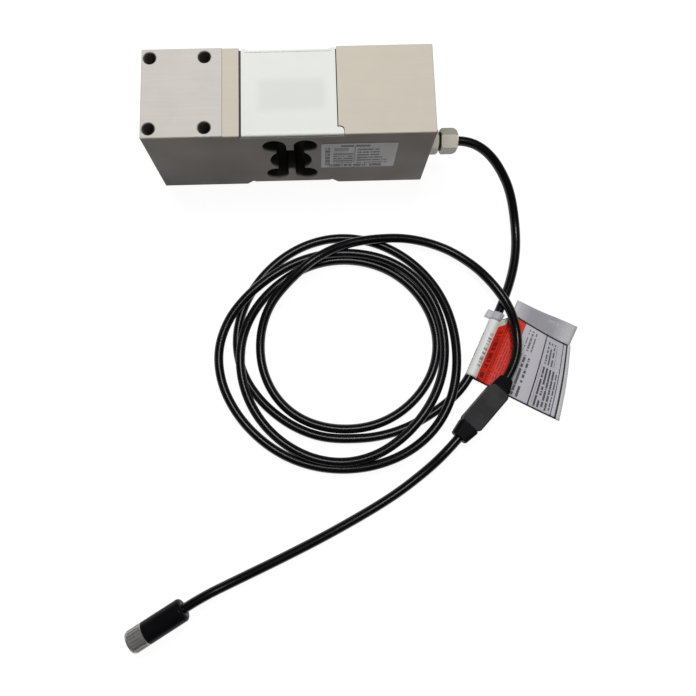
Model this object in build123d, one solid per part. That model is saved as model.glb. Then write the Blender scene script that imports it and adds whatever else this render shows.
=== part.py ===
from build123d import *
import math
import os

# Single-point strain gauge load cell: a machined beam with a bored flexure window,
# sealed gauge recesses, a cable gland on the fixed end, a coiled cable with an
# inline module and a round connector with a free-turning coupling nut.
# Millimetres. Origin at the bottom centre of the beam, +X towards the cable end,
# +Y to the back, +Z up. The cable lies on the surface that the beam stands on.

# Beam block
BEAM_LENGTH = 176.0
BEAM_WIDTH = 58.0
BEAM_HEIGHT = 64.0
EDGE_BREAK = 0.4
LOAD_PAD_LENGTH = 48.5
LOAD_PAD_RISE = 0.6

# Recesses over and under the flexures
TOP_RECESS_LENGTH = 59.0
TOP_RECESS_DEPTH = 3.0
BASE_RECESS_INSET = 2.5
BASE_RECESS_DEPTH = 4.0
CORNER_POCKET_LENGTH = 3.6
CORNER_POCKET_WIDTH = 5.6
CORNER_POCKET_RADIUS = 2.6

# Flexure window: four corner bores, a centre bore and two joining slots
FLEXURE_THICKNESS = 3.6
CORNER_BORE_RADIUS = 7.25
CENTRE_BORE_RADIUS = 13.2
STUB_WIDTH = 4.5
SLOT_WIDTH = 6.4

# Tapped holes of the load end (top) and the fixed end (underside)
THREAD_DIAMETER = 8.0
THREAD_DEPTH = 18.0
THREAD_CHAMFER = 0.35
DRILL_POINT_ANGLE = 118.0
DRILL_WEB_RADIUS = 0.2
HOLE_FROM_END = 5.0
HOLE_PITCH_X = 33.0
HOLE_PITCH_Y = 46.0

# Cable port, wire bore and wire shaft inside the fixed end
PORT_Y = -18.0
PORT_Z = 32.0
PORT_DIAMETER = 12.0
PORT_DEPTH = 14.0
WIRE_BORE_DIAMETER = 5.0

# Terminal board let into the floor of the top recess, over the wire shaft
BOARD_LENGTH_X = 8.0
BOARD_LENGTH_Y = 22.0
BOARD_THICKNESS = 0.8
BOARD_FROM_RECESS_END = 2.5
BOARD_END_Y = -21.0
PAD_PITCH = 2.5
PAD_INSET = 2.0
TRIM_LENGTH = 3.2
TRIM_WIDTH = 1.6
TRIM_HEIGHT = 0.6
TRIM_PITCH = 4.4
TRIM_COUNT = 2

# Foil gauges and their wires
GAUGE_LENGTH = 6.0
GAUGE_WIDTH = 9.0
GAUGE_THICKNESS = 0.15
GAUGE_Y = -1.5
TAB_LENGTH = 1.5
TAB_WIDTH = 3.0
TAB_PITCH = 4.5
WIRE_DIAMETER = 0.3
WIRE_LIFT = 0.2
WIRE_LEAD = 2.0
WIRE_DETOUR = 1.5
BUNDLE_DIAMETER = 2.2
BUNDLE_BEND = 3.0
RISER_SPREAD = 1.35

# Moulded covers of both recesses
COVER_THICKNESS = 1.8
COVER_CAVITY = 0.9
COVER_GAP_LEFT = 1.3
COVER_GAP_RIGHT = 0.6
COVER_GAP_FRONT = 0.3
COVER_GAP_BACK = 0.6
COVER_LIP_RADIUS = 1.2
COVER_RIM = 2.2
COVER_WAIST = 1.0
COVER_DISH = 0.25
COVER_CAVITY_MARGIN = 4.0
BASE_COVER_GAP = 0.6
BASE_COVER_RIM = 1.6

# Blank rating plate on the front face
PLATE_LENGTH = 47.0
PLATE_HEIGHT = 30.4
PLATE_THICKNESS = 0.3
PLATE_FROM_END = 45.2
PLATE_CENTRE_Z = 37.5
PLATE_CORNER = 0.8

# Cable and its gland
CABLE_DIAMETER = 6.0
CABLE_START = 3.5
GLAND_FLATS = 14.0
GLAND_FLANGE = 6.0
GLAND_THREAD_LENGTH = 10.0
GLAND_SPIGOT_DIAMETER = 11.0
GLAND_SPIGOT_LENGTH = 6.5
GLAND_NUT_GAP = 1.7
GLAND_NUT_LENGTH = 11.4
GLAND_NUT_THREAD = 7.6
GLAND_DOME_RADIUS = 4.2
GLAND_END_WALL = 2.0
GLAND_BORE_CLEARANCE = 0.3
HEX_TURN = 30.0
HEX_RIM = 0.2
SEAL_DIAMETER = 9.6
SEAL_LENGTH = 5.0
SEAL_SET_IN = 3.0
SEAL_TAPER = 1.6
SEAL_LIP = 0.6
O_RING_SECTION = 0.8
O_RING_RADIUS = 6.37
GLAND_CHAMFER = 0.5
GLAND_OVERCUT = 1.0

# Fits
THREAD_CLEARANCE = 0.05
CABLE_CLEARANCE = 0.05
RUNNING_CLEARANCE = 0.05
SEAT_CLEARANCE = 0.1
RING_CLEARANCE = 0.02

# Inline module
MODULE_CENTRE = (119.3, -188.2)
MODULE_HEADING = -133.5
MODULE_LENGTH = 31.0
MODULE_WIDTH = 14.0
MODULE_HEIGHT = 12.0
MODULE_LIFT = 0.9
MODULE_CORNER = 3.0
MODULE_EDGE = 1.2
MODULE_WALL = 1.6
MODULE_LEDGE = 1.0
MODULE_BOARD_THICKNESS = 1.2
CHIP_SIZE = 6.0
BOOT_IN_ROOT = (12.0, 10.6)
BOOT_IN_TIP = (8.4, 8.4)
BOOT_OUT_ROOT = (13.4, 11.0)
BOOT_OUT_TIP = (10.8, 9.6)
BOOT_CORNER = 3.2
BOOT_LENGTH_IN = 9.0
BOOT_LENGTH_OUT = 10.0
BOOT_COLLAR = 3.0
BOOT_BAND = 1.4
BOOT_EDGE = 0.8
BOOT_SPIGOT_DIAMETER = 7.0
BOOT_IN_HEADING = -124.0
STRAIGHT_IN = 14.0
STRAIGHT_OUT = 12.0

# Round connector and its coupling nut
CONNECTOR_START = (-70.5, -304.7)
CONNECTOR_HEADING = -149.4
CONNECTOR_DIAMETER = 14.4
CONNECTOR_LENGTH = 26.4
CONNECTOR_SHOULDER = 2.4
CONNECTOR_LIFT = 0.1
STRAIGHT_CONNECTOR = 12.0
NECK_DIAMETER = 9.8
COLLAR_DIAMETER = 10.8
COLLAR_LENGTH = 1.5
CARRIER_DIAMETER = 8.9
CARRIER_LENGTH = 7.6
KEY_WIDTH = 1.2
KEY_DEPTH = 0.7
OUTER_CONTACTS = 4
CONTACT_DIAMETER = 1.6
CONTACT_CIRCLE_RADIUS = 2.6
CONTACT_HOLE_DIAMETER = 0.9
NUT_LENGTH = 10.8
NUT_LIP = 1.8
NUT_AXIAL_PLAY = 0.1
NUT_BORE_DIAMETER = 11.2
NUT_EDGE = 0.3
NUT_RIM = 1.2
KNURL_COUNT = 20
KNURL_WIDTH = 0.9
KNURL_OFFSET = 0.1
KNURL_MARGIN = 0.9
FACE_SEAL_SECTION = 0.9

# Folded tag round the cable, measured from where the cable runs straight under it
TAG_THICKNESS = 0.35
TAG_CLEARANCE = 0.35
TAG_WEDGE = 9.5
TAG_INNER_WEDGE = 6.8
TAG_FLAG_THICKNESS = 0.5
TAG_LIFT = 0.2
TAG_LOOP_START = 7.0
TAG_TOP = 13.4
TAG_END_LEFT = 32.5
TAG_END_RIGHT = 36.5
TAG_RIGHT_TOP = 48.0
TAG_RIGHT_END = 57.9
TAG_TAIL_LEFT = 6.6
TAG_TAIL_RIGHT = 50.2
TAG_TAIL_TOP = 25.4

# Coil: the outer and inner rings of its loose turns
COIL_OUTER_CENTRE = (27.0, -148.5)
COIL_OUTER_RADIUS = 80.5
COIL_INNER_CENTRE = (34.2, -143.5)
COIL_INNER_RADIUS = 53.0
COIL_HEIGHT = 12.0
COIL_CHAMFER = 2.5

# Places worked out from the sizes above
half_length = BEAM_LENGTH / 2
half_width = BEAM_WIDTH / 2
deck_z = BEAM_HEIGHT - LOAD_PAD_RISE
top_floor_z = BEAM_HEIGHT - TOP_RECESS_DEPTH
base_recess_length = TOP_RECESS_LENGTH - 2 * BASE_RECESS_INSET
shaft_x = TOP_RECESS_LENGTH / 2 - BOARD_FROM_RECESS_END - BOARD_LENGTH_X / 2
tab_end = GAUGE_LENGTH / 2 + TAB_LENGTH
bore_x = STUB_WIDTH / 2 + CORNER_BORE_RADIUS
bore_top_z = top_floor_z - FLEXURE_THICKNESS - CORNER_BORE_RADIUS
bore_low_z = BASE_RECESS_DEPTH + FLEXURE_THICKNESS + CORNER_BORE_RADIUS
window_z = (bore_top_z + bore_low_z) / 2
board_z = top_floor_z - BOARD_THICKNESS
cable_start_x = half_length + CABLE_START
cable_radius = CABLE_DIAMETER / 2
tag_axis_z = TAG_LIFT + TAG_THICKNESS + TAG_CLEARANCE + cable_radius
module_z = MODULE_LIFT + MODULE_HEIGHT / 2
connector_z = CONNECTOR_LIFT + CONNECTOR_DIAMETER / 2
neck_end = CONNECTOR_LENGTH + NUT_LIP + 2 * NUT_AXIAL_PLAY
spigot_end = GLAND_FLANGE + GLAND_SPIGOT_LENGTH
seal_start = spigot_end - SEAL_SET_IN
gland_plane = Plane(origin=(half_length, PORT_Y, PORT_Z), x_dir=(0, 1, 0), z_dir=(1, 0, 0))


def heading(degrees):
    """Unit vector that lies flat and points along a compass angle from +X."""
    return Vector(math.cos(math.radians(degrees)), math.sin(math.radians(degrees)), 0)


def along(start, degrees, distance, height):
    """Point at a distance from a flat start point, at a given height."""
    step = heading(degrees) * distance
    return (start[0] + step.X, start[1] + step.Y, height)


def axis_plane(point, degrees):
    """Plane whose normal points along a flat heading, for turned pieces."""
    side = Vector(0, 0, 1).cross(heading(degrees))
    return Plane(origin=point, x_dir=side, z_dir=heading(degrees))


# Ends of the module and of its boots
module_in = along(MODULE_CENTRE, MODULE_HEADING, -MODULE_LENGTH / 2, module_z)
module_out = along(MODULE_CENTRE, MODULE_HEADING, MODULE_LENGTH / 2, module_z)
boot_in_tip = along(module_in, BOOT_IN_HEADING, -BOOT_LENGTH_IN, module_z)
boot_out_tip = along(module_out, MODULE_HEADING, BOOT_LENGTH_OUT, module_z)
connector_start = (CONNECTOR_START[0], CONNECTOR_START[1], connector_z)

# Cable routes, as corner points chosen by hand
LEAD_ROUTE = [
    (cable_start_x, PORT_Y, PORT_Z),
    (113.0, PORT_Y, PORT_Z),
    (131.0, -29.5, 26.5),
    (144.0, -45.5, 13.5),
    (151.5, -66.0, 3.8),
    (150.0, -88.0, 3.2),
    (139.6, -112.5, 3.5),
    (127.7, -137.2, tag_axis_z),
    (111.5, -169.5, tag_axis_z),
    (97.5, -184.5, 3.2),
    (74.0, -198.5, 3.1),
    (52.0, -204.8, 3.1),
]
TAG_RUN = (7, 8)
RUN_OUT_ROUTE = [
    (33.0, -77.0, 9.3),
    (52.0, -73.6, 9.3),
    (76.0, -72.8, 7.0),
    (99.5, -79.6, 4.6),
    (118.5, -91.6, 6.4),
    (131.6, -104.6, 10.2),
    (141.4, -122.0, 10.2),
    (146.2, -138.5, 6.2),
    along(boot_in_tip, BOOT_IN_HEADING, -STRAIGHT_IN, module_z),
    boot_in_tip,
]
TAIL_ROUTE = [
    boot_out_tip,
    along(boot_out_tip, MODULE_HEADING, STRAIGHT_OUT, module_z),
    (80.0, -226.8, 3.6),
    (57.0, -241.9, 3.1),
    (20.0, -261.2, 3.1),
    (-12.0, -275.3, 3.1),
    (-40.0, -288.4, 3.5),
    along(connector_start, CONNECTOR_HEADING, -STRAIGHT_CONNECTOR, connector_z),
    connector_start,
]


def corner_radii(points):
    """Radius of each corner of a route: 0.45 of the shorter run over tan of half the turn."""
    radii = []
    for before, corner, after in zip(points, points[1:], points[2:]):
        run_in = Vector(*corner) - Vector(*before)
        run_out = Vector(*after) - Vector(*corner)
        half_turn = math.radians(run_in.get_angle(run_out)) / 2
        radii.append(0.45 * min(run_in.length, run_out.length) / math.tan(half_turn))
    return radii


def cord_tube(name, points):
    """Round cable along straight runs joined by tangent arcs."""
    radii = corner_radii(points)
    path = FilletPolyline(*points, radius=radii)
    section = Plane(origin=path @ 0, z_dir=path % 0) * Circle(cable_radius)
    tube = sweep(section, path=path)
    expected = section.area * path.length
    print(name, "length", round(path.length, 1), "radii", [round(r) for r in radii],
          "volume ratio", round(tube.volume / expected, 4))
    return tube


def window_profile():
    """Side view of the window: corner bores, centre bore and the slots that join them."""
    profile = Pos(0, window_z) * Circle(CENTRE_BORE_RADIUS)
    for side in (-1, 1):
        slot_x = side * (STUB_WIDTH / 2 + SLOT_WIDTH / 2)
        profile += Pos(slot_x, window_z) * Rectangle(SLOT_WIDTH, bore_top_z - bore_low_z)
        for bore_z in (bore_low_z, bore_top_z):
            profile += Pos(side * bore_x, bore_z) * Circle(CORNER_BORE_RADIUS)
    return profile


def beam_profile():
    """Side outline of the block, with its load pad and both recesses."""
    recess = TOP_RECESS_LENGTH / 2
    ramp_top = base_recess_length / 2
    ramp_foot = ramp_top + BASE_RECESS_DEPTH
    pad_end = -half_length + LOAD_PAD_LENGTH
    points = [
        (-half_length, 0), (-ramp_foot, 0), (-ramp_top, BASE_RECESS_DEPTH),
        (ramp_top, BASE_RECESS_DEPTH), (ramp_foot, 0), (half_length, 0),
        (half_length, deck_z), (recess, deck_z), (recess, top_floor_z),
        (-recess, top_floor_z), (-recess, deck_z), (pad_end, deck_z),
        (pad_end, BEAM_HEIGHT), (-half_length, BEAM_HEIGHT),
    ]
    return make_face(Polyline(*points, close=True))


def tapped_hole():
    """Blind hole with a chamfered mouth at the origin, going down -Z."""
    radius = THREAD_DIAMETER / 2
    bore = Pos(0, 0, -THREAD_DEPTH / 2) * Cylinder(radius, THREAD_DEPTH)
    tip_length = (radius - DRILL_WEB_RADIUS) / math.tan(math.radians(DRILL_POINT_ANGLE / 2))
    tip = Pos(0, 0, -THREAD_DEPTH - tip_length / 2) * Cone(DRILL_WEB_RADIUS, radius, tip_length)
    mouth = Pos(0, 0, -THREAD_CHAMFER / 2) * Cone(radius, radius + THREAD_CHAMFER, THREAD_CHAMFER)
    return bore + tip + mouth


def hole_centres(end):
    """Centres of the four holes of one end: -1 the load end, +1 the fixed end."""
    outer = end * (half_length - HOLE_FROM_END)
    inner = outer - end * HOLE_PITCH_X
    return [(x, y) for x in (outer, inner) for y in (-HOLE_PITCH_Y / 2, HOLE_PITCH_Y / 2)]


def corner_block(inset, height):
    """Rounded pocket at the front corner of the recess, or the cover's ear that lies in it."""
    left = TOP_RECESS_LENGTH / 2 - COVER_GAP_RIGHT - COVER_RIM
    right = TOP_RECESS_LENGTH / 2 + CORNER_POCKET_LENGTH - inset
    front = -half_width + inset
    back = -half_width + CORNER_POCKET_WIDTH - inset
    outline = Polyline((left, front), (right, front), (right, back), (left, back), close=True)
    block = extrude(make_face(outline), height)
    inner = block.edges().filter_by(Axis.Z).sort_by_distance((right, back, 0))[0]
    return fillet(inner, CORNER_POCKET_RADIUS)


def beam():
    """Block with its window, recesses, holes, port and wire passages."""
    block = extrude(Plane.XZ * beam_profile(), half_width, both=True)
    long_faces = block.faces().filter_by(Axis.Y)
    end_faces = block.faces().filter_by(Axis.X).sort_by(Axis.X)
    outer = [*long_faces[0].edges(), *long_faces[1].edges(), *end_faces[0].edges(), *end_faces[-1].edges()]
    block = chamfer(ShapeList(set(outer)), EDGE_BREAK)
    block -= extrude(Plane.XZ * window_profile(), half_width + EDGE_BREAK, both=True)
    block -= Pos(0, 0, top_floor_z) * corner_block(0, TOP_RECESS_DEPTH)
    for x, y in hole_centres(-1):
        block -= Pos(x, y, BEAM_HEIGHT) * tapped_hole()
    for x, y in hole_centres(1):
        block -= Pos(x, y, 0) * Rot(180, 0, 0) * tapped_hole()
    port_centre = half_length - PORT_DEPTH / 2
    block -= Pos(port_centre, PORT_Y, PORT_Z) * Rot(0, 90, 0) * Cylinder(PORT_DIAMETER / 2, PORT_DEPTH)
    bore_length = half_length - PORT_DEPTH - shaft_x
    bore_centre = shaft_x + bore_length / 2
    block -= Pos(bore_centre, PORT_Y, PORT_Z) * Rot(0, 90, 0) * Cylinder(WIRE_BORE_DIAMETER / 2, bore_length)
    shaft_height = top_floor_z - BASE_RECESS_DEPTH
    shaft_centre = BASE_RECESS_DEPTH + shaft_height / 2
    block -= Pos(shaft_x, PORT_Y, shaft_centre) * Cylinder(WIRE_BORE_DIAMETER / 2, shaft_height)
    pocket = Box(BOARD_LENGTH_X + 2 * SEAT_CLEARANCE, BOARD_LENGTH_Y + 2 * SEAT_CLEARANCE, BOARD_THICKNESS)
    block -= Pos(shaft_x, BOARD_END_Y + BOARD_LENGTH_Y / 2, board_z + BOARD_THICKNESS / 2) * pocket
    return block


def gauge(x, face_z, up):
    """Foil gauge with its two solder tabs, bonded over or under a corner bore."""
    centre_z = face_z + up * GAUGE_THICKNESS / 2
    grid = Box(GAUGE_LENGTH, GAUGE_WIDTH, GAUGE_THICKNESS)
    tab = Box(TAB_LENGTH, TAB_WIDTH, GAUGE_THICKNESS)
    for side in (-1, 1):
        grid += Pos((GAUGE_LENGTH + TAB_LENGTH) / 2, side * TAB_PITCH / 2, 0) * tab
    return Pos(x, GAUGE_Y, centre_z) * grid


def thin_wire(points):
    """Thin round wire along straight runs with mitred bends."""
    path = Polyline(*points)
    section = Plane(origin=path @ 0, z_dir=path % 0) * Circle(WIRE_DIAMETER / 2)
    return sweep(section, path=path, transition=Transition.RIGHT)


def top_wires():
    """Wires from the tabs of the two upper gauges to the pads of the terminal board."""
    wires = []
    z = top_floor_z + WIRE_LIFT
    pad_x = shaft_x - BOARD_LENGTH_X / 2 + PAD_INSET
    pad_top = BOARD_END_Y + BOARD_LENGTH_Y - PAD_PITCH / 2
    near_x = bore_x + tab_end + SEAT_CLEARANCE
    far_x = -bore_x + tab_end + SEAT_CLEARANCE
    for side, near_pad, far_pad in ((1, 1, 0), (-1, 2, 3)):
        tab_y = GAUGE_Y + side * TAB_PITCH / 2
        wires.append(thin_wire([(near_x, tab_y, z), (pad_x, pad_top - near_pad * PAD_PITCH, z)]))
        detour_y = GAUGE_Y + side * (GAUGE_WIDTH / 2 + WIRE_DETOUR)
        wires.append(thin_wire([(far_x, tab_y, z), (far_x + WIRE_LEAD, tab_y, z),
                                (far_x + 2 * WIRE_LEAD, detour_y, z), (near_x, detour_y, z),
                                (pad_x, pad_top - far_pad * PAD_PITCH, z)]))
    return Compound(wires)


def base_wires():
    """Wires from the two lower gauges to the shaft and up to the underside of the board."""
    z = BASE_RECESS_DEPTH - WIRE_LIFT
    tab_y = GAUGE_Y - TAB_PITCH / 2
    riser_y = PORT_Y - RISER_SPREAD
    far_x = -bore_x + tab_end + SEAT_CLEARANCE
    near_x = bore_x + tab_end + SEAT_CLEARANCE
    detour_y = GAUGE_Y - GAUGE_WIDTH / 2 - WIRE_DETOUR
    far_riser = shaft_x - RISER_SPREAD
    near_riser = shaft_x + RISER_SPREAD
    far_wire = thin_wire([(far_x, tab_y, z), (far_x + WIRE_LEAD, tab_y, z),
                          (far_x + 2 * WIRE_LEAD, detour_y, z),
                          (far_riser, riser_y, z), (far_riser, riser_y, board_z)])
    near_wire = thin_wire([(near_x, tab_y, z), (near_riser, tab_y, z), (near_riser, riser_y, z),
                           (near_riser, riser_y, board_z)])
    return Compound([far_wire, near_wire])


def conductor_bundle():
    """Inner conductors of the cable, from its stripped end to the terminal board."""
    points = [(cable_start_x, PORT_Y, PORT_Z), (shaft_x, PORT_Y, PORT_Z), (shaft_x, PORT_Y, board_z)]
    path = FilletPolyline(*points, radius=BUNDLE_BEND)
    section = Plane(origin=path @ 0, z_dir=path % 0) * Circle(BUNDLE_DIAMETER / 2)
    return sweep(section, path=path)


def terminal_board():
    """Small circuit board whose top lies flush with the recess floor."""
    board = Box(BOARD_LENGTH_X, BOARD_LENGTH_Y, BOARD_THICKNESS)
    return Pos(shaft_x, BOARD_END_Y + BOARD_LENGTH_Y / 2, board_z + BOARD_THICKNESS / 2) * board


def trim_resistors():
    """Balance resistors soldered to the top of the board."""
    resistor = Box(TRIM_LENGTH, TRIM_WIDTH, TRIM_HEIGHT)
    resistors = []
    for index in range(TRIM_COUNT):
        y = BOARD_END_Y + TRIM_PITCH * (index + 1)
        resistors.append(Pos(shaft_x, y, top_floor_z + TRIM_HEIGHT / 2) * resistor)
    return Compound(resistors)


def top_cover():
    """White moulded cover: dished top, rounded front lip, ear in the corner pocket."""
    left = -TOP_RECESS_LENGTH / 2 + COVER_GAP_LEFT
    right = TOP_RECESS_LENGTH / 2 - COVER_GAP_RIGHT
    front = -half_width + COVER_GAP_FRONT
    back = half_width - COVER_GAP_BACK
    waist = back - COVER_WAIST
    outline = Polyline((left, front), (right, front), (right, back), (right - COVER_RIM, back),
                       (right - 2 * COVER_RIM, waist), (left + 2 * COVER_RIM, waist),
                       (left + COVER_RIM, back), (left, back), close=True)
    cover = extrude(make_face(outline), COVER_THICKNESS)
    cover += corner_block(COVER_GAP_FRONT, COVER_THICKNESS)
    lip = cover.edges().filter_by(Axis.X).group_by(Axis.Z)[-1].sort_by(Axis.Y)[0]
    cover = fillet(lip, COVER_LIP_RADIUS)
    length = right - left
    width = back - front
    dish = Box(length - 2 * COVER_RIM, width - 2 * COVER_RIM, COVER_DISH)
    cavity = Box(length - 2 * COVER_CAVITY_MARGIN, width - 2 * COVER_CAVITY_MARGIN, COVER_CAVITY)
    middle = Pos((left + right) / 2, (front + back) / 2, 0)
    cover -= middle * Pos(0, 0, COVER_THICKNESS - COVER_DISH / 2) * dish
    cover -= middle * Pos(0, 0, COVER_CAVITY / 2) * cavity
    return Pos(0, 0, top_floor_z) * cover


def base_cover():
    """Plain moulded cover that closes the recess on the underside."""
    length = base_recess_length - 2 * BASE_COVER_GAP
    width = BEAM_WIDTH - 2 * COVER_GAP_BACK
    cover = Pos(0, 0, -COVER_THICKNESS / 2) * Box(length, width, COVER_THICKNESS)
    cavity = Box(length - 2 * BASE_COVER_RIM, width - 2 * COVER_CAVITY_MARGIN, COVER_CAVITY)
    cover -= Pos(0, 0, -COVER_CAVITY / 2) * cavity
    corners = cover.edges().filter_by(Axis.Z).sort_by_distance((0, 0, 0))[-4:]
    return Pos(0, 0, BASE_RECESS_DEPTH) * fillet(corners, COVER_LIP_RADIUS)


def rating_plate():
    """Blank silver plate bonded to the front face of the fixed end."""
    centre = Pos(half_length - PLATE_FROM_END, PLATE_CENTRE_Z)
    outline = centre * RectangleRounded(PLATE_LENGTH, PLATE_HEIGHT, PLATE_CORNER)
    return Pos(0, -half_width, 0) * extrude(Plane.XZ * outline, PLATE_THICKNESS)


def turned(profile_points, plane):
    """Solid of revolution from (distance along axis, radius) points, on a plane's normal."""
    face = make_face(Polyline(*[(radius, z) for z, radius in profile_points], close=True))
    return plane * revolve(Plane.XZ * face, Axis.Z)


def hex_prism(flats, start, length, plane):
    """Hexagonal prism with chamfered corners, a corner upwards, along a plane's normal."""
    hexagon = RegularPolygon(flats / 2, 6, major_radius=False, rotation=HEX_TURN)
    prism = Pos(0, 0, start) * extrude(hexagon, length)
    corner = flats / math.sqrt(3)
    rim = flats / 2 + HEX_RIM
    slope = corner - rim
    shape = [(start, 0), (start, rim), (start + slope, corner), (start + length - slope, corner),
             (start + length, rim), (start + length, 0)]
    return plane * (prism & turned(shape, Plane.XY))


def gland_body():
    """Lower part of the gland: port thread, hexagon flange and upper thread."""
    bore = cable_radius + GLAND_BORE_CLEARANCE
    thread = PORT_DIAMETER / 2 - THREAD_CLEARANCE
    spigot = GLAND_SPIGOT_DIAMETER / 2
    back = -GLAND_THREAD_LENGTH
    barrel = [(back, 0), (back, thread - GLAND_CHAMFER), (back + GLAND_CHAMFER, thread),
              (GLAND_FLANGE / 2, thread), (GLAND_FLANGE / 2, spigot), (spigot_end, spigot), (spigot_end, 0)]
    body = hex_prism(GLAND_FLATS, 0, GLAND_FLANGE, gland_plane) + turned(barrel, gland_plane)
    seal_pocket = SEAL_DIAMETER / 2 + SEAT_CLEARANCE
    hole = [(back - GLAND_OVERCUT, 0), (back - GLAND_OVERCUT, bore), (seal_start, bore),
            (seal_start, seal_pocket), (spigot_end + GLAND_OVERCUT, seal_pocket),
            (spigot_end + GLAND_OVERCUT, 0)]
    inner = O_RING_RADIUS - O_RING_SECTION / 2
    outer = O_RING_RADIUS + O_RING_SECTION / 2
    ring_seat = [(0, inner), (0, outer), (O_RING_SECTION, outer), (O_RING_SECTION, inner)]
    return body - turned(hole, gland_plane) - turned(ring_seat, gland_plane)


def gland_o_ring():
    """Sealing ring under the flange, pressed against the end face."""
    inner = O_RING_RADIUS - O_RING_SECTION / 2 + RING_CLEARANCE
    outer = O_RING_RADIUS + O_RING_SECTION / 2 - RING_CLEARANCE
    return turned([(0, inner), (0, outer), (O_RING_SECTION, outer), (O_RING_SECTION, inner)], gland_plane)


def gland_seal():
    """Rubber bush that grips the cable between the gland body and the nut."""
    bore = cable_radius + CABLE_CLEARANCE
    end = seal_start + SEAL_LENGTH
    shape = [(seal_start, bore), (seal_start, SEAL_DIAMETER / 2), (end - SEAL_TAPER, SEAL_DIAMETER / 2),
             (end, bore + SEAL_LIP), (end, bore)]
    return turned(shape, gland_plane)


def gland_nut():
    """Hexagon nut that closes on the seal; its flats run out in the domed outer end."""
    start = GLAND_FLANGE + GLAND_NUT_GAP
    end = start + GLAND_NUT_LENGTH
    corner = GLAND_FLATS / math.sqrt(3)
    half_section = make_face(Polyline((0, start), (corner, start), (corner, end), (0, end), close=True))
    barrel = revolve(Plane.XZ * half_section, Axis.Z)
    dome = gland_plane * fillet(barrel.edges().group_by(Axis.Z)[-1], GLAND_DOME_RADIUS)
    nut = hex_prism(GLAND_FLATS, start, GLAND_NUT_LENGTH, gland_plane) & dome
    thread = GLAND_SPIGOT_DIAMETER / 2 + THREAD_CLEARANCE
    thread_end = start + GLAND_NUT_THREAD
    exit_radius = cable_radius + GLAND_BORE_CLEARANCE
    hole = [(start - GLAND_OVERCUT, 0), (start - GLAND_OVERCUT, thread), (thread_end, thread),
            (end - GLAND_END_WALL, exit_radius), (end + GLAND_OVERCUT, exit_radius), (end + GLAND_OVERCUT, 0)]
    return nut - turned(hole, gland_plane)


def module_shell_block():
    """Outer form of the module: flat top, rounded corners, softened edges."""
    plan = RectangleRounded(MODULE_LENGTH, MODULE_WIDTH, MODULE_CORNER)
    block = extrude(plan, MODULE_HEIGHT / 2, both=True)
    rims = block.edges().group_by(Axis.Z)[0] + block.edges().group_by(Axis.Z)[-1]
    return fillet(rims, MODULE_EDGE)


def place_module(shape):
    """Move a shape made about the origin to the module's place."""
    return Pos(MODULE_CENTRE[0], MODULE_CENTRE[1], module_z) * Rot(0, 0, MODULE_HEADING) * shape


def module_half(upper):
    """One half shell of the module, hollow, with notches for the boots; the lower has the board's ledge."""
    length = MODULE_LENGTH - 2 * MODULE_WALL
    width = MODULE_WIDTH - 2 * MODULE_WALL
    height = MODULE_HEIGHT / 2 - MODULE_WALL
    notch = Rot(0, 90, 0) * Cylinder(BOOT_SPIGOT_DIAMETER / 2 + SEAT_CLEARANCE, MODULE_LENGTH)
    block = module_shell_block() - notch
    board_space = MODULE_BOARD_THICKNESS / 2
    if upper:
        block -= Pos(0, 0, height / 2) * Box(length, width, height)
    else:
        block -= Pos(0, 0, -board_space / 2) * Box(length, width, board_space)
        block -= Pos(0, 0, -height / 2) * Box(length - 2 * MODULE_LEDGE, width - 2 * MODULE_LEDGE, height)
    side = 1 if upper else -1
    keep = Pos(0, 0, side * MODULE_HEIGHT / 2) * Box(MODULE_LENGTH, MODULE_WIDTH, MODULE_HEIGHT)
    return place_module(block & keep)


def module_board():
    """Circuit board of the module with its chip, on the ledge of the lower half shell."""
    board = Box(MODULE_LENGTH - 2 * MODULE_WALL - 2 * SEAT_CLEARANCE,
                MODULE_WIDTH - 2 * MODULE_WALL - 2 * SEAT_CLEARANCE, MODULE_BOARD_THICKNESS)
    chip = Pos(0, 0, MODULE_BOARD_THICKNESS) * Box(CHIP_SIZE, CHIP_SIZE, MODULE_BOARD_THICKNESS)
    return place_module(board + chip)


def boot(root, degrees, module_degrees, length, root_size, tip_size):
    """Tapered strain relief of rounded oblong section, with a spigot in the module's end wall."""
    root_face = RectangleRounded(*root_size, BOOT_CORNER)
    tip_face = RectangleRounded(*tip_size, BOOT_CORNER)
    band = Pos(0, 0, -BOOT_COLLAR) * extrude(root_face, BOOT_COLLAR + BOOT_BAND)
    sleeve = band + loft([Pos(0, 0, BOOT_BAND) * root_face, Pos(0, 0, length) * tip_face], ruled=True)
    sleeve = axis_plane(root, degrees) * fillet(sleeve.edges().group_by(Axis.Z)[-1], BOOT_EDGE)
    sleeve -= place_module(Box(MODULE_LENGTH, 2 * MODULE_WIDTH, 2 * MODULE_HEIGHT))
    spigot = Pos(0, 0, -MODULE_WALL / 2) * Cylinder(BOOT_SPIGOT_DIAMETER / 2, MODULE_WALL)
    return sleeve + axis_plane(root, module_degrees) * spigot


def boot_in():
    """Boot on the load cell side, bent a little by the cable."""
    return boot(module_in, BOOT_IN_HEADING + 180, MODULE_HEADING + 180, BOOT_LENGTH_IN,
                BOOT_IN_ROOT, BOOT_IN_TIP)


def boot_out():
    """Boot on the connector side."""
    return boot(module_out, MODULE_HEADING, MODULE_HEADING, BOOT_LENGTH_OUT, BOOT_OUT_ROOT, BOOT_OUT_TIP)


def connector_plane(distance):
    """Plane across the connector axis at a distance from its cable end."""
    return axis_plane(along(connector_start, CONNECTOR_HEADING, distance, connector_z), CONNECTOR_HEADING)


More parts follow.
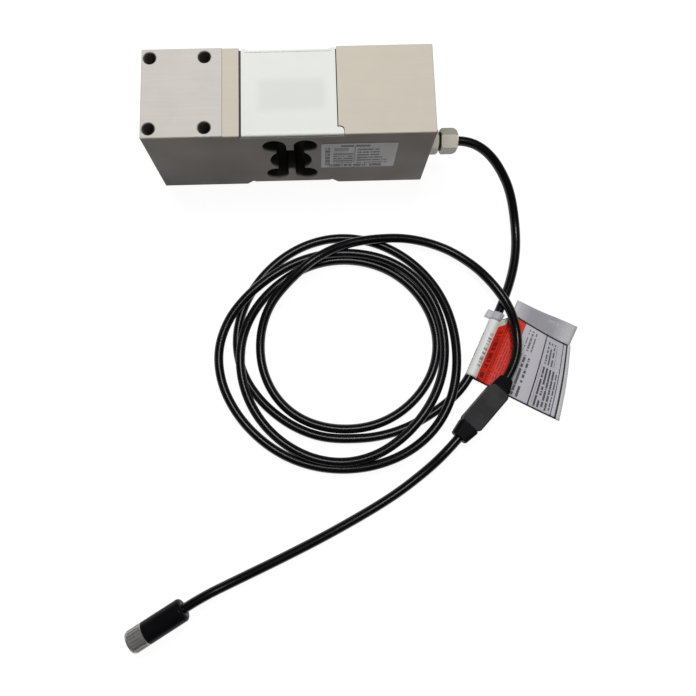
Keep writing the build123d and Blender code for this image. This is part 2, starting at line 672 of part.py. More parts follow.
def connector_body():
    """Moulded grip of the connector with its rounded shoulder and the neck for the nut."""
    radius = CONNECTOR_DIAMETER / 2
    neck = NECK_DIAMETER / 2
    outline = Polyline((0, 0), (radius, 0), (radius, CONNECTOR_LENGTH), (neck, CONNECTOR_LENGTH),
                       (neck, neck_end), (0, neck_end), close=True)
    body = revolve(Plane.XZ * make_face(outline), Axis.Z)
    shoulder = body.edges().filter_by(GeomType.CIRCLE).group_by(Axis.Z)[0]
    body = fillet(shoulder, CONNECTOR_SHOULDER)
    return connector_plane(0) * body


def contact_centres():
    """Centres of the contacts: one in the middle and the rest on a circle."""
    centres = [(0.0, 0.0)]
    for index in range(OUTER_CONTACTS):
        angle = 2 * math.pi * (index + 0.5) / OUTER_CONTACTS
        centres.append((CONTACT_CIRCLE_RADIUS * math.cos(angle), CONTACT_CIRCLE_RADIUS * math.sin(angle)))
    return centres


def contact_carrier():
    """Insert that holds the contacts, with its stop collar and key slot."""
    shape = [(0, 0), (0, COLLAR_DIAMETER / 2), (COLLAR_LENGTH, COLLAR_DIAMETER / 2),
             (COLLAR_LENGTH, CARRIER_DIAMETER / 2), (CARRIER_LENGTH, CARRIER_DIAMETER / 2),
             (CARRIER_LENGTH, 0)]
    carrier = turned(shape, Plane.XY)
    slot_length = CARRIER_LENGTH - COLLAR_LENGTH
    slot = Box(2 * KEY_DEPTH, KEY_WIDTH, slot_length)
    carrier -= Pos(CARRIER_DIAMETER / 2, 0, COLLAR_LENGTH + slot_length / 2) * slot
    for x, y in contact_centres():
        carrier -= Pos(x, y, CARRIER_LENGTH / 2) * Cylinder(CONTACT_DIAMETER / 2, CARRIER_LENGTH)
    return connector_plane(neck_end) * carrier


def contacts():
    """Socket contacts in the bores of the carrier."""
    sockets = []
    for x, y in contact_centres():
        socket = Cylinder(CONTACT_DIAMETER / 2 - RUNNING_CLEARANCE, CARRIER_LENGTH)
        socket -= Pos(0, 0, CARRIER_LENGTH / 4) * Cylinder(CONTACT_HOLE_DIAMETER / 2, CARRIER_LENGTH / 2)
        sockets.append(Pos(x, y, CARRIER_LENGTH / 2) * socket)
    return connector_plane(neck_end) * Compound(sockets)


def face_seal():
    """Sealing ring at the foot of the carrier, in front of the collar."""
    inner = CARRIER_DIAMETER / 2 + RING_CLEARANCE
    outer = inner + FACE_SEAL_SECTION
    shape = [(0, inner), (0, outer), (FACE_SEAL_SECTION, outer), (FACE_SEAL_SECTION, inner)]
    return turned(shape, connector_plane(neck_end + COLLAR_LENGTH))


def coupling_nut():
    """Knurled metal nut that turns freely on the neck of the connector."""
    radius = CONNECTOR_DIAMETER / 2
    lip_bore = NECK_DIAMETER / 2 + RUNNING_CLEARANCE
    bore = NUT_BORE_DIAMETER / 2
    shape = [(0, lip_bore), (0, radius - NUT_EDGE), (NUT_EDGE, radius), (NUT_LENGTH - NUT_RIM, radius),
             (NUT_LENGTH, radius - NUT_RIM / 2), (NUT_LENGTH, bore + NUT_EDGE), (NUT_LENGTH - NUT_EDGE, bore),
             (NUT_LIP, bore), (NUT_LIP, lip_bore)]
    nut = turned(shape, Plane.XY)
    knurl_length = NUT_LENGTH - NUT_RIM - 2 * KNURL_MARGIN
    groove = Rot(0, 0, 45) * Box(KNURL_WIDTH, KNURL_WIDTH, knurl_length)
    place = Pos(radius + KNURL_OFFSET, 0, KNURL_MARGIN + knurl_length / 2)
    grooves = [Rot(0, 0, 360 * index / KNURL_COUNT) * place * groove for index in range(KNURL_COUNT)]
    return connector_plane(CONNECTOR_LENGTH + NUT_AXIAL_PLAY) * (nut - grooves)


def teardrop(radius, tip_x, tip_z):
    """Circle round the cable's axis, drawn out to a point on the flag by its two tangents."""
    drop = Pos(0, tag_axis_z) * Circle(radius)
    reach = math.hypot(tip_x, tip_z - tag_axis_z)
    base = math.atan2(tip_z - tag_axis_z, tip_x)
    spread = math.acos(radius / reach)
    low, high = [(radius * math.cos(base + turn), tag_axis_z + radius * math.sin(base + turn))
                 for turn in (-spread, spread)]
    return drop + make_face(Polyline(low, (tip_x, tip_z), high, (0, tag_axis_z), close=True))


def tag_section():
    """Cross-section of the tag: a loop round the cable that closes into a flat flag."""
    inner = cable_radius + TAG_CLEARANCE
    flag_mid = TAG_LIFT + TAG_FLAG_THICKNESS / 2
    flag_length = TAG_RIGHT_END - TAG_WEDGE / 2
    section = teardrop(inner + TAG_THICKNESS, TAG_WEDGE, flag_mid)
    section += Pos(TAG_WEDGE / 2 + flag_length / 2, flag_mid) * Rectangle(flag_length, TAG_FLAG_THICKNESS)
    return section - teardrop(inner, TAG_INNER_WEDGE, flag_mid + TAG_FLAG_THICKNESS)


def tag_outline():
    """Plan view of the tag, with the cable along Y: printed panel and the clear tail above it."""
    left = -cable_radius - TAG_CLEARANCE - TAG_THICKNESS
    panel = Polyline((left, TAG_LOOP_START), (TAG_TAIL_LEFT, TAG_LOOP_START), (TAG_TAIL_LEFT, TAG_TAIL_TOP),
                     (TAG_TAIL_RIGHT, TAG_TAIL_TOP), (TAG_TAIL_RIGHT, TAG_TOP), (TAG_RIGHT_TOP, TAG_TOP),
                     (TAG_RIGHT_END, -TAG_END_RIGHT), (left, -TAG_END_LEFT), close=True)
    return make_face(panel)


def tag():
    """Folded label whose loop goes round the straight stretch of the cable."""
    start, end = [LEAD_ROUTE[index] for index in TAG_RUN]
    run_heading = math.degrees(math.atan2(end[1] - start[1], end[0] - start[0]))
    band = extrude(Plane.XZ * tag_section(), TAG_RIGHT_END, both=True)
    flat_tag = band & extrude(tag_outline(), 2 * tag_axis_z)
    return Pos(start[0], start[1], 0) * Rot(0, 0, run_heading + 90) * flat_tag


def coil():
    """Outer shape of the loose coil: a flat ring, wider on one side."""
    ring = Pos(*COIL_OUTER_CENTRE, 0) * extrude(Circle(COIL_OUTER_RADIUS), COIL_HEIGHT)
    ring -= Pos(*COIL_INNER_CENTRE, 0) * extrude(Circle(COIL_INNER_RADIUS), COIL_HEIGHT)
    rims = ring.edges().group_by(Axis.Z)[0] + ring.edges().group_by(Axis.Z)[-1]
    return chamfer(rims, COIL_CHAMFER)


def main():
    """Build every piece and write one STEP file for each."""
    os.makedirs("parts", exist_ok=True)
    coil_ring = coil()
    parts = {
        "beam": beam(),
        "gauge_top_left": gauge(-bore_x, top_floor_z, 1),
        "gauge_top_right": gauge(bore_x, top_floor_z, 1),
        "gauge_base_left": gauge(-bore_x, BASE_RECESS_DEPTH, -1),
        "gauge_base_right": gauge(bore_x, BASE_RECESS_DEPTH, -1),
        "top_bridge_wires": top_wires(),
        "base_bridge_wires": base_wires(),
        "conductor_bundle": conductor_bundle(),
        "terminal_board": terminal_board(),
        "trim_resistors": trim_resistors(),
        "top_cover": top_cover(),
        "base_cover": base_cover(),
        "rating_plate": rating_plate(),
        "gland_body": gland_body(),
        "gland_o_ring": gland_o_ring(),
        "gland_seal": gland_seal(),
        "gland_nut": gland_nut(),
        "cable_lead": cord_tube("lead", LEAD_ROUTE) - coil_ring,
        "cable_coil": coil_ring,
        "cable_run_out": cord_tube("run out", RUN_OUT_ROUTE) - coil_ring,
        "module_upper_shell": module_half(True),
        "module_lower_shell": module_half(False),
        "module_board": module_board(),
        "module_boot_in": boot_in(),
        "module_boot_out": boot_out(),
        "cable_tail": cord_tube("tail", TAIL_ROUTE),
        "connector_body": connector_body(),
        "contact_carrier": contact_carrier(),
        "contact_sockets": contacts(),
        "connector_seal": face_seal(),
        "coupling_nut": coupling_nut(),
        "cable_tag": tag(),
    }
    for name, shape in parts.items():
        export_step(shape, f"parts/{name}.step")


main()
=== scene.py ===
import logging
import math
from dataclasses import dataclass, field
from enum import Enum

import bmesh
import bpy
from mathutils import Matrix, Vector


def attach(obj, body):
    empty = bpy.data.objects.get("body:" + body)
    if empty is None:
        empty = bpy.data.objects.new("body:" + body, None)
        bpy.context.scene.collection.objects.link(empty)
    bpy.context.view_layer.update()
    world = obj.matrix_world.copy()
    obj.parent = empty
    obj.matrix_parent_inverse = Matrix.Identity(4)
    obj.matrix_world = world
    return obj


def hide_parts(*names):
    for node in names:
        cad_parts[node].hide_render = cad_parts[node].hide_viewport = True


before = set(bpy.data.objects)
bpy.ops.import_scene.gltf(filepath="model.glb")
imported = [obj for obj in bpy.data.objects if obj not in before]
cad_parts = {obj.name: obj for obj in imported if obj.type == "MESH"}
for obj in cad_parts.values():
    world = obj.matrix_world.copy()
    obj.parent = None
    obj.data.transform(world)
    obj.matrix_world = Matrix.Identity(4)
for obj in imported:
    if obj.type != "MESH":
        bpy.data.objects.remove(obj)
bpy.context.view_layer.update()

# Dresses the strain gauge load cell: finishes for the machined beam and its small pieces,
# threads, the cable with its coil, the inline module, the connector and the folded tag.
# Sizes are in millimetres, in the row frame, and are turned into metres where meshes are made.
# The studio's lamps, cards and floor are given in metres.

MM = 0.001
log = logging.getLogger("load_cell_scene")

Point = tuple[float, float, float]
Colour = tuple[float, float, float]
Box = tuple[float, float, float, float]
Socket = bpy.types.NodeSocket
Thing = bpy.types.Object
Spot = tuple[Vector, tuple[float, float]]


class Body(Enum):
    """Rigid bodies of the model that a piece can ride on."""

    CELL = "load_cell"
    NUT = "coupling_nut"


class Mapping(Enum):
    """Axis along which a finish runs, as a scale of its grain along X, Y and Z."""

    EVEN = (1.0, 1.0, 1.0)
    ALONG_X = (0.04, 1.0, 1.0)


def heading(degrees: float) -> Vector:
    """Gives the flat unit vector at an angle from +X, counter-clockwise seen from above."""
    return Vector((math.cos(math.radians(degrees)), math.sin(math.radians(degrees)), 0.0))


def along(start: Point, degrees: float, distance: float, height: float) -> Point:
    """Steps over the table from a place and gives the new place, at its own height."""
    step = heading(degrees) * distance
    return (start[0] + step.x, start[1] + step.y, height)


def blend(low: float, high: float, share: float) -> float:
    """Gives the value at a share of the way from low to high."""
    return low + (high - low) * share


def limited(share: float) -> float:
    """Keeps a share between 0 and 1."""
    return min(max(share, 0.0), 1.0)


def shares(count: int) -> list[float]:
    """Gives evenly spaced shares from 0 to 1."""
    return [index / (count - 1) for index in range(count)]


def facing(direction: Vector, axis: str = "Z") -> Matrix:
    """Gives the turn that points an axis along a direction."""
    return direction.to_track_quat(axis, "Y").to_matrix().to_4x4()


# Cable routes and places that the CAD source also holds
CABLE_DIAMETER = 6.0
PORT_Y = -18.0
PORT_Z = 32.0
TAG_AXIS_Z = 3.9
MODULE_Z = 6.9
CONNECTOR_Z = 7.3
MODULE_HEADING = -133.5
BOOT_IN_HEADING = -124.0
CONNECTOR_HEADING = -149.4
MODULE_CENTRE = (119.3, -188.2, 0.0)
MODULE_HALF = 15.5
BOOT_IN_REACH = 9.0
BOOT_OUT_REACH = 10.0
STRAIGHT_IN = 14.0
STRAIGHT_OUT = 12.0
MODULE_IN = along(MODULE_CENTRE, MODULE_HEADING, -MODULE_HALF, MODULE_Z)
MODULE_OUT = along(MODULE_CENTRE, MODULE_HEADING, MODULE_HALF, MODULE_Z)
BOOT_IN_TIP = along(MODULE_IN, BOOT_IN_HEADING, -BOOT_IN_REACH, MODULE_Z)
BOOT_OUT_TIP = along(MODULE_OUT, MODULE_HEADING, BOOT_OUT_REACH, MODULE_Z)
CONNECTOR_START = (-70.5, -304.7, CONNECTOR_Z)
TAG_ORIGIN = (127.7, -137.2)
TAG_HEADING = -26.64
LEAD_ROUTE = [
    (91.5, PORT_Y, PORT_Z),
    (104.0, PORT_Y, PORT_Z),
    (112.0, PORT_Y - 0.3, PORT_Z),
    (120.0, -20.7, 31.0),
    (128.0, -25.3, 28.0),
    (136.0, -32.6, 22.6),
    (144.9, -44.8, 13.5),
    (149.8, -66.0, 3.8),
    (148.4, -88.0, 3.2),
    (140.7, -111.8, 3.5),
    (*TAG_ORIGIN, TAG_AXIS_Z),
    (111.5, -169.5, TAG_AXIS_Z),
    (97.2, -184.1, 3.2),
    (73.8, -198.1, 3.1),
    (52.0, -204.8, 3.1),
]
RUN_OUT_ROUTE = [
    (7.5, -92.6, 13.9),
    (18.1, -85.6, 13.7),
    (33.0, -78.2, 11.0),
    (52.0, -74.2, 9.3),
    (76.0, -73.2, 7.0),
    (100.0, -79.5, 4.6),
    (117.8, -92.2, 6.4),
    (129.0, -106.2, 10.2),
    (139.2, -122.4, 10.2),
    (144.6, -138.8, 6.2),
    along(BOOT_IN_TIP, BOOT_IN_HEADING, -STRAIGHT_IN, MODULE_Z),
    BOOT_IN_TIP,
]
TAIL_ROUTE = [
    BOOT_OUT_TIP,
    along(BOOT_OUT_TIP, MODULE_HEADING, STRAIGHT_OUT, MODULE_Z),
    (80.0, -227.4, 3.6),
    (57.4, -243.3, 3.1),
    (20.6, -262.8, 3.1),
    (-11.2, -277.6, 3.1),
    (-39.9, -290.1, 3.5),
    along(CONNECTOR_START, CONNECTOR_HEADING, -STRAIGHT_OUT, CONNECTOR_Z),
    CONNECTOR_START,
]


class NodeDesk:
    """Lays out shader nodes in a material or a node group."""

    def __init__(self, tree: bpy.types.NodeTree) -> None:
        """Keeps the tree that the nodes go into."""
        self.tree = tree

    def feed(self, value: object, target: Socket) -> None:
        """Links a socket to an input, or sets the input.

        Args:
            value: socket, number or colour.
            target: the input.
        """
        if isinstance(value, Socket):
            self.tree.links.new(value, target)
        elif isinstance(value, tuple):
            target.default_value = (*value, 1.0)
        else:
            target.default_value = value

    def add(self, kind: str, **settings: object) -> bpy.types.Node:
        """Adds a node, sets its properties and feeds its inputs.

        Args:
            kind: Blender's name of the node type.
            settings: property names, or input names with spaces written as underscores.

        Returns:
            The new node.
        """
        node = self.tree.nodes.new(kind)
        for name, value in settings.items():
            if hasattr(node, name):
                setattr(node, name, value)
            else:
                self.feed(value, node.inputs[name.replace("_", " ")])
        return node

    def math(self, operation: str, first: object, second: object) -> Socket:
        """Adds a math node.

        Args:
            operation: Blender's name of the operation.
            first: socket or number.
            second: socket or number.

        Returns:
            The result's socket.
        """
        node = self.add("ShaderNodeMath", operation=operation)
        self.feed(first, node.inputs[0])
        self.feed(second, node.inputs[1])
        return node.outputs[0]

    def clamp(self, value: object) -> Socket:
        """Keeps a value between 0 and 1."""
        return self.math("MINIMUM", self.math("MAXIMUM", value, 0.0), 1.0)

    def mix(self, factor: object, low: object, high: object) -> Socket:
        """Mixes two colours.

        Args:
            factor: socket or number.
            low: socket or colour at factor 0.
            high: socket or colour at factor 1.

        Returns:
            The mixed colour's socket.
        """
        node = self.add("ShaderNodeMix", data_type="RGBA")
        for value, index in ((factor, 0), (low, 6), (high, 7)):
            self.feed(value, node.inputs[index])
        return node.outputs[2]

    def group(self, tree: bpy.types.NodeTree, *values: object) -> bpy.types.Node:
        """Places a node group.

        Args:
            tree: the group.
            values: sockets or numbers for its first inputs, in their order.

        Returns:
            The group's node.
        """
        node = self.add("ShaderNodeGroup", node_tree=tree)
        for value, target in zip(values, node.inputs):
            self.feed(value, target)
        return node

    def place(self, kind: str = "Object") -> Socket:
        """Gives the object's own coordinates, or its own normal."""
        return self.add("ShaderNodeTexCoord").outputs[kind]


class Effects:
    """Shader node groups that several finishes share, built once."""

    COARSE_SHARE = 0.06
    WEAR_GAIN = 9.0
    WEAR_FLOOR = 0.35
    WEAR_NOISE = 260.0
    CLOUD_SCALE = 60.0
    CLOUD_LIMITS = (0.45, 0.75)
    ROW_SHIFT = 7.31
    UPRIGHT_LIMIT = 0.75
    UPRIGHT_GAIN = 2.5

    def __init__(self) -> None:
        """Builds the groups."""
        self.grain = self._grain()
        self.wear = self._edge_wear()
        self.dust = self._dust()
        self.field = self._field()
        self.rows = self._rows()
        self.side = self._upright_shade()

    @staticmethod
    def _start(name: str, inputs: dict[str, float], outputs: tuple[str, ...] = ("Mask",)
               ) -> tuple[NodeDesk, list[Socket], list[Socket]]:
        """Starts a group.

        Args:
            name: the group's name.
            inputs: names and defaults of its number inputs.
            outputs: names of its number outputs.

        Returns:
            A desk on the new group, the sockets that come in and the sockets that go out.
        """
        tree = bpy.data.node_groups.new(name, "ShaderNodeTree")
        for label, value in inputs.items():
            socket = tree.interface.new_socket(label, in_out="INPUT", socket_type="NodeSocketFloat")
            socket.default_value = value
        for label in outputs:
            tree.interface.new_socket(label, in_out="OUTPUT", socket_type="NodeSocketFloat")
        desk = NodeDesk(tree)
        entry, leave = desk.add("NodeGroupInput"), desk.add("NodeGroupOutput")
        return desk, list(entry.outputs), list(leave.inputs)

    def _grain(self) -> bpy.types.NodeTree:
        """Fine grain: noise of two sizes over the object's own coordinates.

        Returns:
            The group, with Scale and stretch inputs and Value and Coarse outputs.
        """
        values = {"Scale": 900.0, "Along X": 1.0, "Along Y": 1.0, "Along Z": 1.0}
        desk, entry, leave = self._start("surface_grain", values, ("Value", "Coarse"))
        place = desk.place()
        stretch = desk.add("ShaderNodeCombineXYZ", X=entry[1], Y=entry[2], Z=entry[3])
        scaled = desk.add("ShaderNodeVectorMath", operation="MULTIPLY")
        desk.feed(place, scaled.inputs[0])
        desk.feed(stretch.outputs[0], scaled.inputs[1])
        fine = desk.add("ShaderNodeTexNoise", Vector=scaled.outputs[0], Scale=entry[0], Detail=3.0,
                        Roughness=0.6)
        broad = desk.math("MULTIPLY", entry[0], self.COARSE_SHARE)
        coarse = desk.add("ShaderNodeTexNoise", Vector=place, Scale=broad, Detail=2.0, Roughness=0.5)
        desk.feed(fine.outputs[0], leave[0])
        desk.feed(coarse.outputs[0], leave[1])
        return desk.tree

    def _edge_wear(self) -> bpy.types.NodeTree:
        """Bare or polished edges: where the bevelled normal leaves the true one.

        Returns:
            The group, with Radius and Amount inputs and a Mask output.
        """
        desk, entry, leave = self._start("edge_wear", {"Radius": 0.0006, "Amount": 1.0})
        bevel = desk.add("ShaderNodeBevel", samples=4, Radius=entry[0])
        dot = desk.add("ShaderNodeVectorMath", operation="DOT_PRODUCT")
        desk.feed(bevel.outputs[0], dot.inputs[0])
        desk.feed(desk.add("ShaderNodeNewGeometry").outputs["Normal"], dot.inputs[1])
        breakup = desk.add("ShaderNodeTexNoise", Vector=desk.place(), Scale=self.WEAR_NOISE, Detail=3.0)
        corner = desk.math("SUBTRACT", 1.0, dot.outputs["Value"])
        sharp = desk.math("MULTIPLY", corner, self.WEAR_GAIN)
        broken = desk.math("MULTIPLY", sharp, desk.math("ADD", breakup.outputs[0], self.WEAR_FLOOR))
        desk.feed(desk.math("MINIMUM", desk.math("MULTIPLY", broken, entry[1]), 1.0), leave[0])
        return desk.tree

    def _dust(self) -> bpy.types.NodeTree:
        """Faint patches of dust and handling marks.

        Returns:
            The group, with an Amount input and a Mask output.
        """
        desk, entry, leave = self._start("handling_marks", {"Amount": 0.2})
        cloud = desk.add("ShaderNodeTexNoise", Vector=desk.place(), Scale=self.CLOUD_SCALE, Detail=5.0,
                         Roughness=0.65)
        low, high = self.CLOUD_LIMITS
        ramp = desk.add("ShaderNodeMapRange", Value=cloud.outputs[0], From_Min=low, From_Max=high)
        desk.feed(desk.math("MULTIPLY", ramp.outputs[0], entry[0]), leave[0])
        return desk.tree

    def _field(self) -> bpy.types.NodeTree:
        """Rectangular field with soft edges, in a pair of coordinates in millimetres.

        Returns:
            The group, with U, V, the field's limits and Blur inputs and a Mask output.
        """
        values = {"U": 0.0, "V": 0.0, "U Low": 0.0, "U High": 1.0, "V Low": 0.0, "V High": 1.0, "Blur": 0.05}
        desk, entry, leave = self._start("print_field", values)
        sides = []
        for first, second in ((0, 2), (3, 0), (1, 4), (5, 1)):
            gap = desk.math("SUBTRACT", entry[first], entry[second])
            sides.append(desk.clamp(desk.math("ADD", desk.math("DIVIDE", gap, entry[6]), 0.5)))
        across, upward = (desk.math("MULTIPLY", *pair) for pair in (sides[:2], sides[2:]))
        desk.feed(desk.math("MULTIPLY", across, upward), leave[0])
        return desk.tree

    def _rows(self) -> bpy.types.NodeTree:
        """Rows of short bars along U, as a stand-in for print.

        Returns:
            The group, with U, V, Pitch, Fill, Dash and Cover inputs and a Mask output.
        """
        values = {"U": 0.0, "V": 0.0, "Pitch": 2.0, "Fill": 0.45, "Dash": 0.6, "Cover": 0.47}
        desk, entry, leave = self._start("print_rows", values)
        row = desk.math("DIVIDE", entry[1], entry[2])
        number = desk.math("FLOOR", row, 0.0)
        inside = desk.math("LESS_THAN", desk.math("SUBTRACT", row, number), entry[3])
        place = desk.add("ShaderNodeCombineXYZ", X=desk.math("MULTIPLY", entry[0], entry[4]),
                         Y=desk.math("MULTIPLY", number, self.ROW_SHIFT))
        breaks = desk.add("ShaderNodeTexNoise", Vector=place.outputs[0], Scale=1.0, Detail=1.0)
        dash = desk.math("GREATER_THAN", breaks.outputs[0], entry[5])
        desk.feed(desk.math("MULTIPLY", inside, dash), leave[0])
        return desk.tree

    def _upright_shade(self) -> bpy.types.NodeTree:
        """Painted shade on upright faces, which come out darker than the top: a mask from the face's own
        direction.

        Returns:
            The group, with an Amount input and a Mask output.
        """
        desk, entry, leave = self._start("upright_face_shade", {"Amount": 1.0})
        split = desk.add("ShaderNodeSeparateXYZ", Vector=desk.place("Normal"))
        upward = desk.math("ABSOLUTE", split.outputs[2], 0.0)
        ramp = desk.math("MULTIPLY", desk.math("SUBTRACT", self.UPRIGHT_LIMIT, upward), self.UPRIGHT_GAIN)
        desk.feed(desk.math("MULTIPLY", desk.clamp(ramp), entry[0]), leave[0])
        return desk.tree


@dataclass(frozen=True)
class Patch:
    """A field of colour: lowest and highest U, lowest and highest V, and the width of its soft edge."""

    limits: Box
    colour: Colour
    strength: float = 1.0
    blur: float = 0.06


@dataclass(frozen=True)
class Rows:
    """Rows of short bars in a field: their pitch and share, and how short and how many the bars are."""

    limits: Box
    colour: Colour
    pitch: float
    fill: float
    dash: float
    cover: float
    strength: float = 0.95
    blur: float = 0.1


@dataclass(frozen=True)
class Finish:
    """One finish: a Principled surface with grain, edge wear, handling marks and, where given, painted shade
    on upright faces.
    """

    name: str
    colour: Colour
    roughness: float = 0.5
    metallic: float = 0.0
    specular: float = 0.5
    coat: float = 0.0
    grain_scale: float = 900.0
    grain_bump: float = 0.05
    grain_shade: float = 0.06
    rough_spread: float = 0.1
    mapping: Mapping = Mapping.EVEN
    wear_colour: Colour | None = None
    wear_radius: float = 0.5
    wear_amount: float = 1.0
    dust_colour: Colour = (0.5, 0.48, 0.45)
    dust_amount: float = 0.05
    upright_shade_colour: Colour | None = None
    upright_shade_amount: float = 1.0
    alpha: float = 1.0
    coat_roughness: float = 0.15
    bump_distance: float = 0.2

    def build(self, effects: Effects) -> "BuiltFinish":
        """Makes the material.

        Args:
            effects: the shared node groups.

        Returns:
            The material with the sockets that a piece may paint over.
        """
        material = bpy.data.materials.new(self.name)
        material.use_nodes = True
        desk = NodeDesk(material.node_tree)
        shader = material.node_tree.nodes["Principled BSDF"]
        grain = desk.group(effects.grain, self.grain_scale, *self.mapping.value)
        darker = tuple(channel * (1.0 - 2.0 * self.grain_shade) for channel in self.colour)
        lighter = tuple(min(1.0, channel * (1.0 + self.grain_shade)) for channel in self.colour)
        colour = desk.mix(grain.outputs["Value"], darker, lighter)
        colour = desk.mix(desk.group(effects.dust, self.dust_amount).outputs[0], colour, self.dust_colour)
        # Painted shade: upright faces take a darker colour than the top.
        if self.upright_shade_colour is not None:
            side = desk.group(effects.side, self.upright_shade_amount)
            colour = desk.mix(side.outputs[0], colour, self.upright_shade_colour)
        if self.wear_colour is not None:
            wear = desk.group(effects.wear, self.wear_radius * MM, self.wear_amount)
            colour = desk.mix(wear.outputs[0], colour, self.wear_colour)
        swing = desk.math("SUBTRACT", grain.outputs["Coarse"], 0.5)
        spread = desk.math("MULTIPLY", swing, 2.0 * self.rough_spread)
        bump = desk.add("ShaderNodeBump", Strength=self.grain_bump, Distance=self.bump_distance * MM,
                        Height=grain.outputs["Value"])
        for name, value in (("Base Color", colour), ("Metallic", self.metallic), ("Alpha", self.alpha),
                            ("Roughness", desk.math("ADD", spread, self.roughness)),
                            ("Specular IOR Level", self.specular), ("Coat Weight", self.coat),
                            ("Coat Roughness", self.coat_roughness), ("Normal", bump.outputs[0])):
            desk.feed(value, shader.inputs[name])
        return BuiltFinish(material, desk, shader, effects)


@dataclass
class BuiltFinish:
    """A made material, with the tools to paint fields over its colour."""

    material: bpy.types.Material
    desk: NodeDesk
    shader: bpy.types.Node
    effects: Effects

    def coordinates(self, u_axis: int, v_axis: int, uv_name: str = "") -> tuple[Socket, ...]:
        """Gives two coordinates in millimetres, from the object's own axes or from a UV map.

        Args:
            u_axis: number of the object's axis that U runs along.
            v_axis: number of the object's axis that V runs along.
            uv_name: name of a UV map that holds millimetres, where it is used instead.

        Returns:
            The two sockets.
        """
        if uv_name:
            source = self.desk.add("ShaderNodeUVMap", uv_map=uv_name).outputs[0]
        else:
            source = self.desk.place()
        scale = 1.0 if uv_name else 1.0 / MM
        split = self.desk.add("ShaderNodeSeparateXYZ", Vector=source)
        return tuple(self.desk.math("MULTIPLY", split.outputs[axis], scale) for axis in (u_axis, v_axis))

    def paint(self, where: tuple[Socket, ...], *marks: Patch | Rows,
              corner: tuple[float, float] = (0.0, 0.0)) -> None:
        """Paints fields and rows of bars over the colour so far.

        Args:
            where: the two coordinates' sockets; bars run along the first.
            marks: the fields and rows, from the lowest up.
            corner: the place in millimetres that their limits count from.
        """
        target = self.shader.inputs["Base Color"]
        for mark in marks:
            limits = [value + corner[index // 2] for index, value in enumerate(mark.limits)]
            mask = self.desk.group(self.effects.field, *where, *limits, mark.blur).outputs[0]
            if isinstance(mark, Rows):
                sizes = (mark.pitch, mark.fill, mark.dash, mark.cover)
                bars = self.desk.group(self.effects.rows, *where, *sizes)
                mask = self.desk.math("MULTIPLY", mask, bars.outputs[0])
            mask = self.desk.math("MULTIPLY", mask, mark.strength)
            before = target.links[0].from_socket
            self.desk.feed(self.desk.mix(mask, before, mark.colour), target)


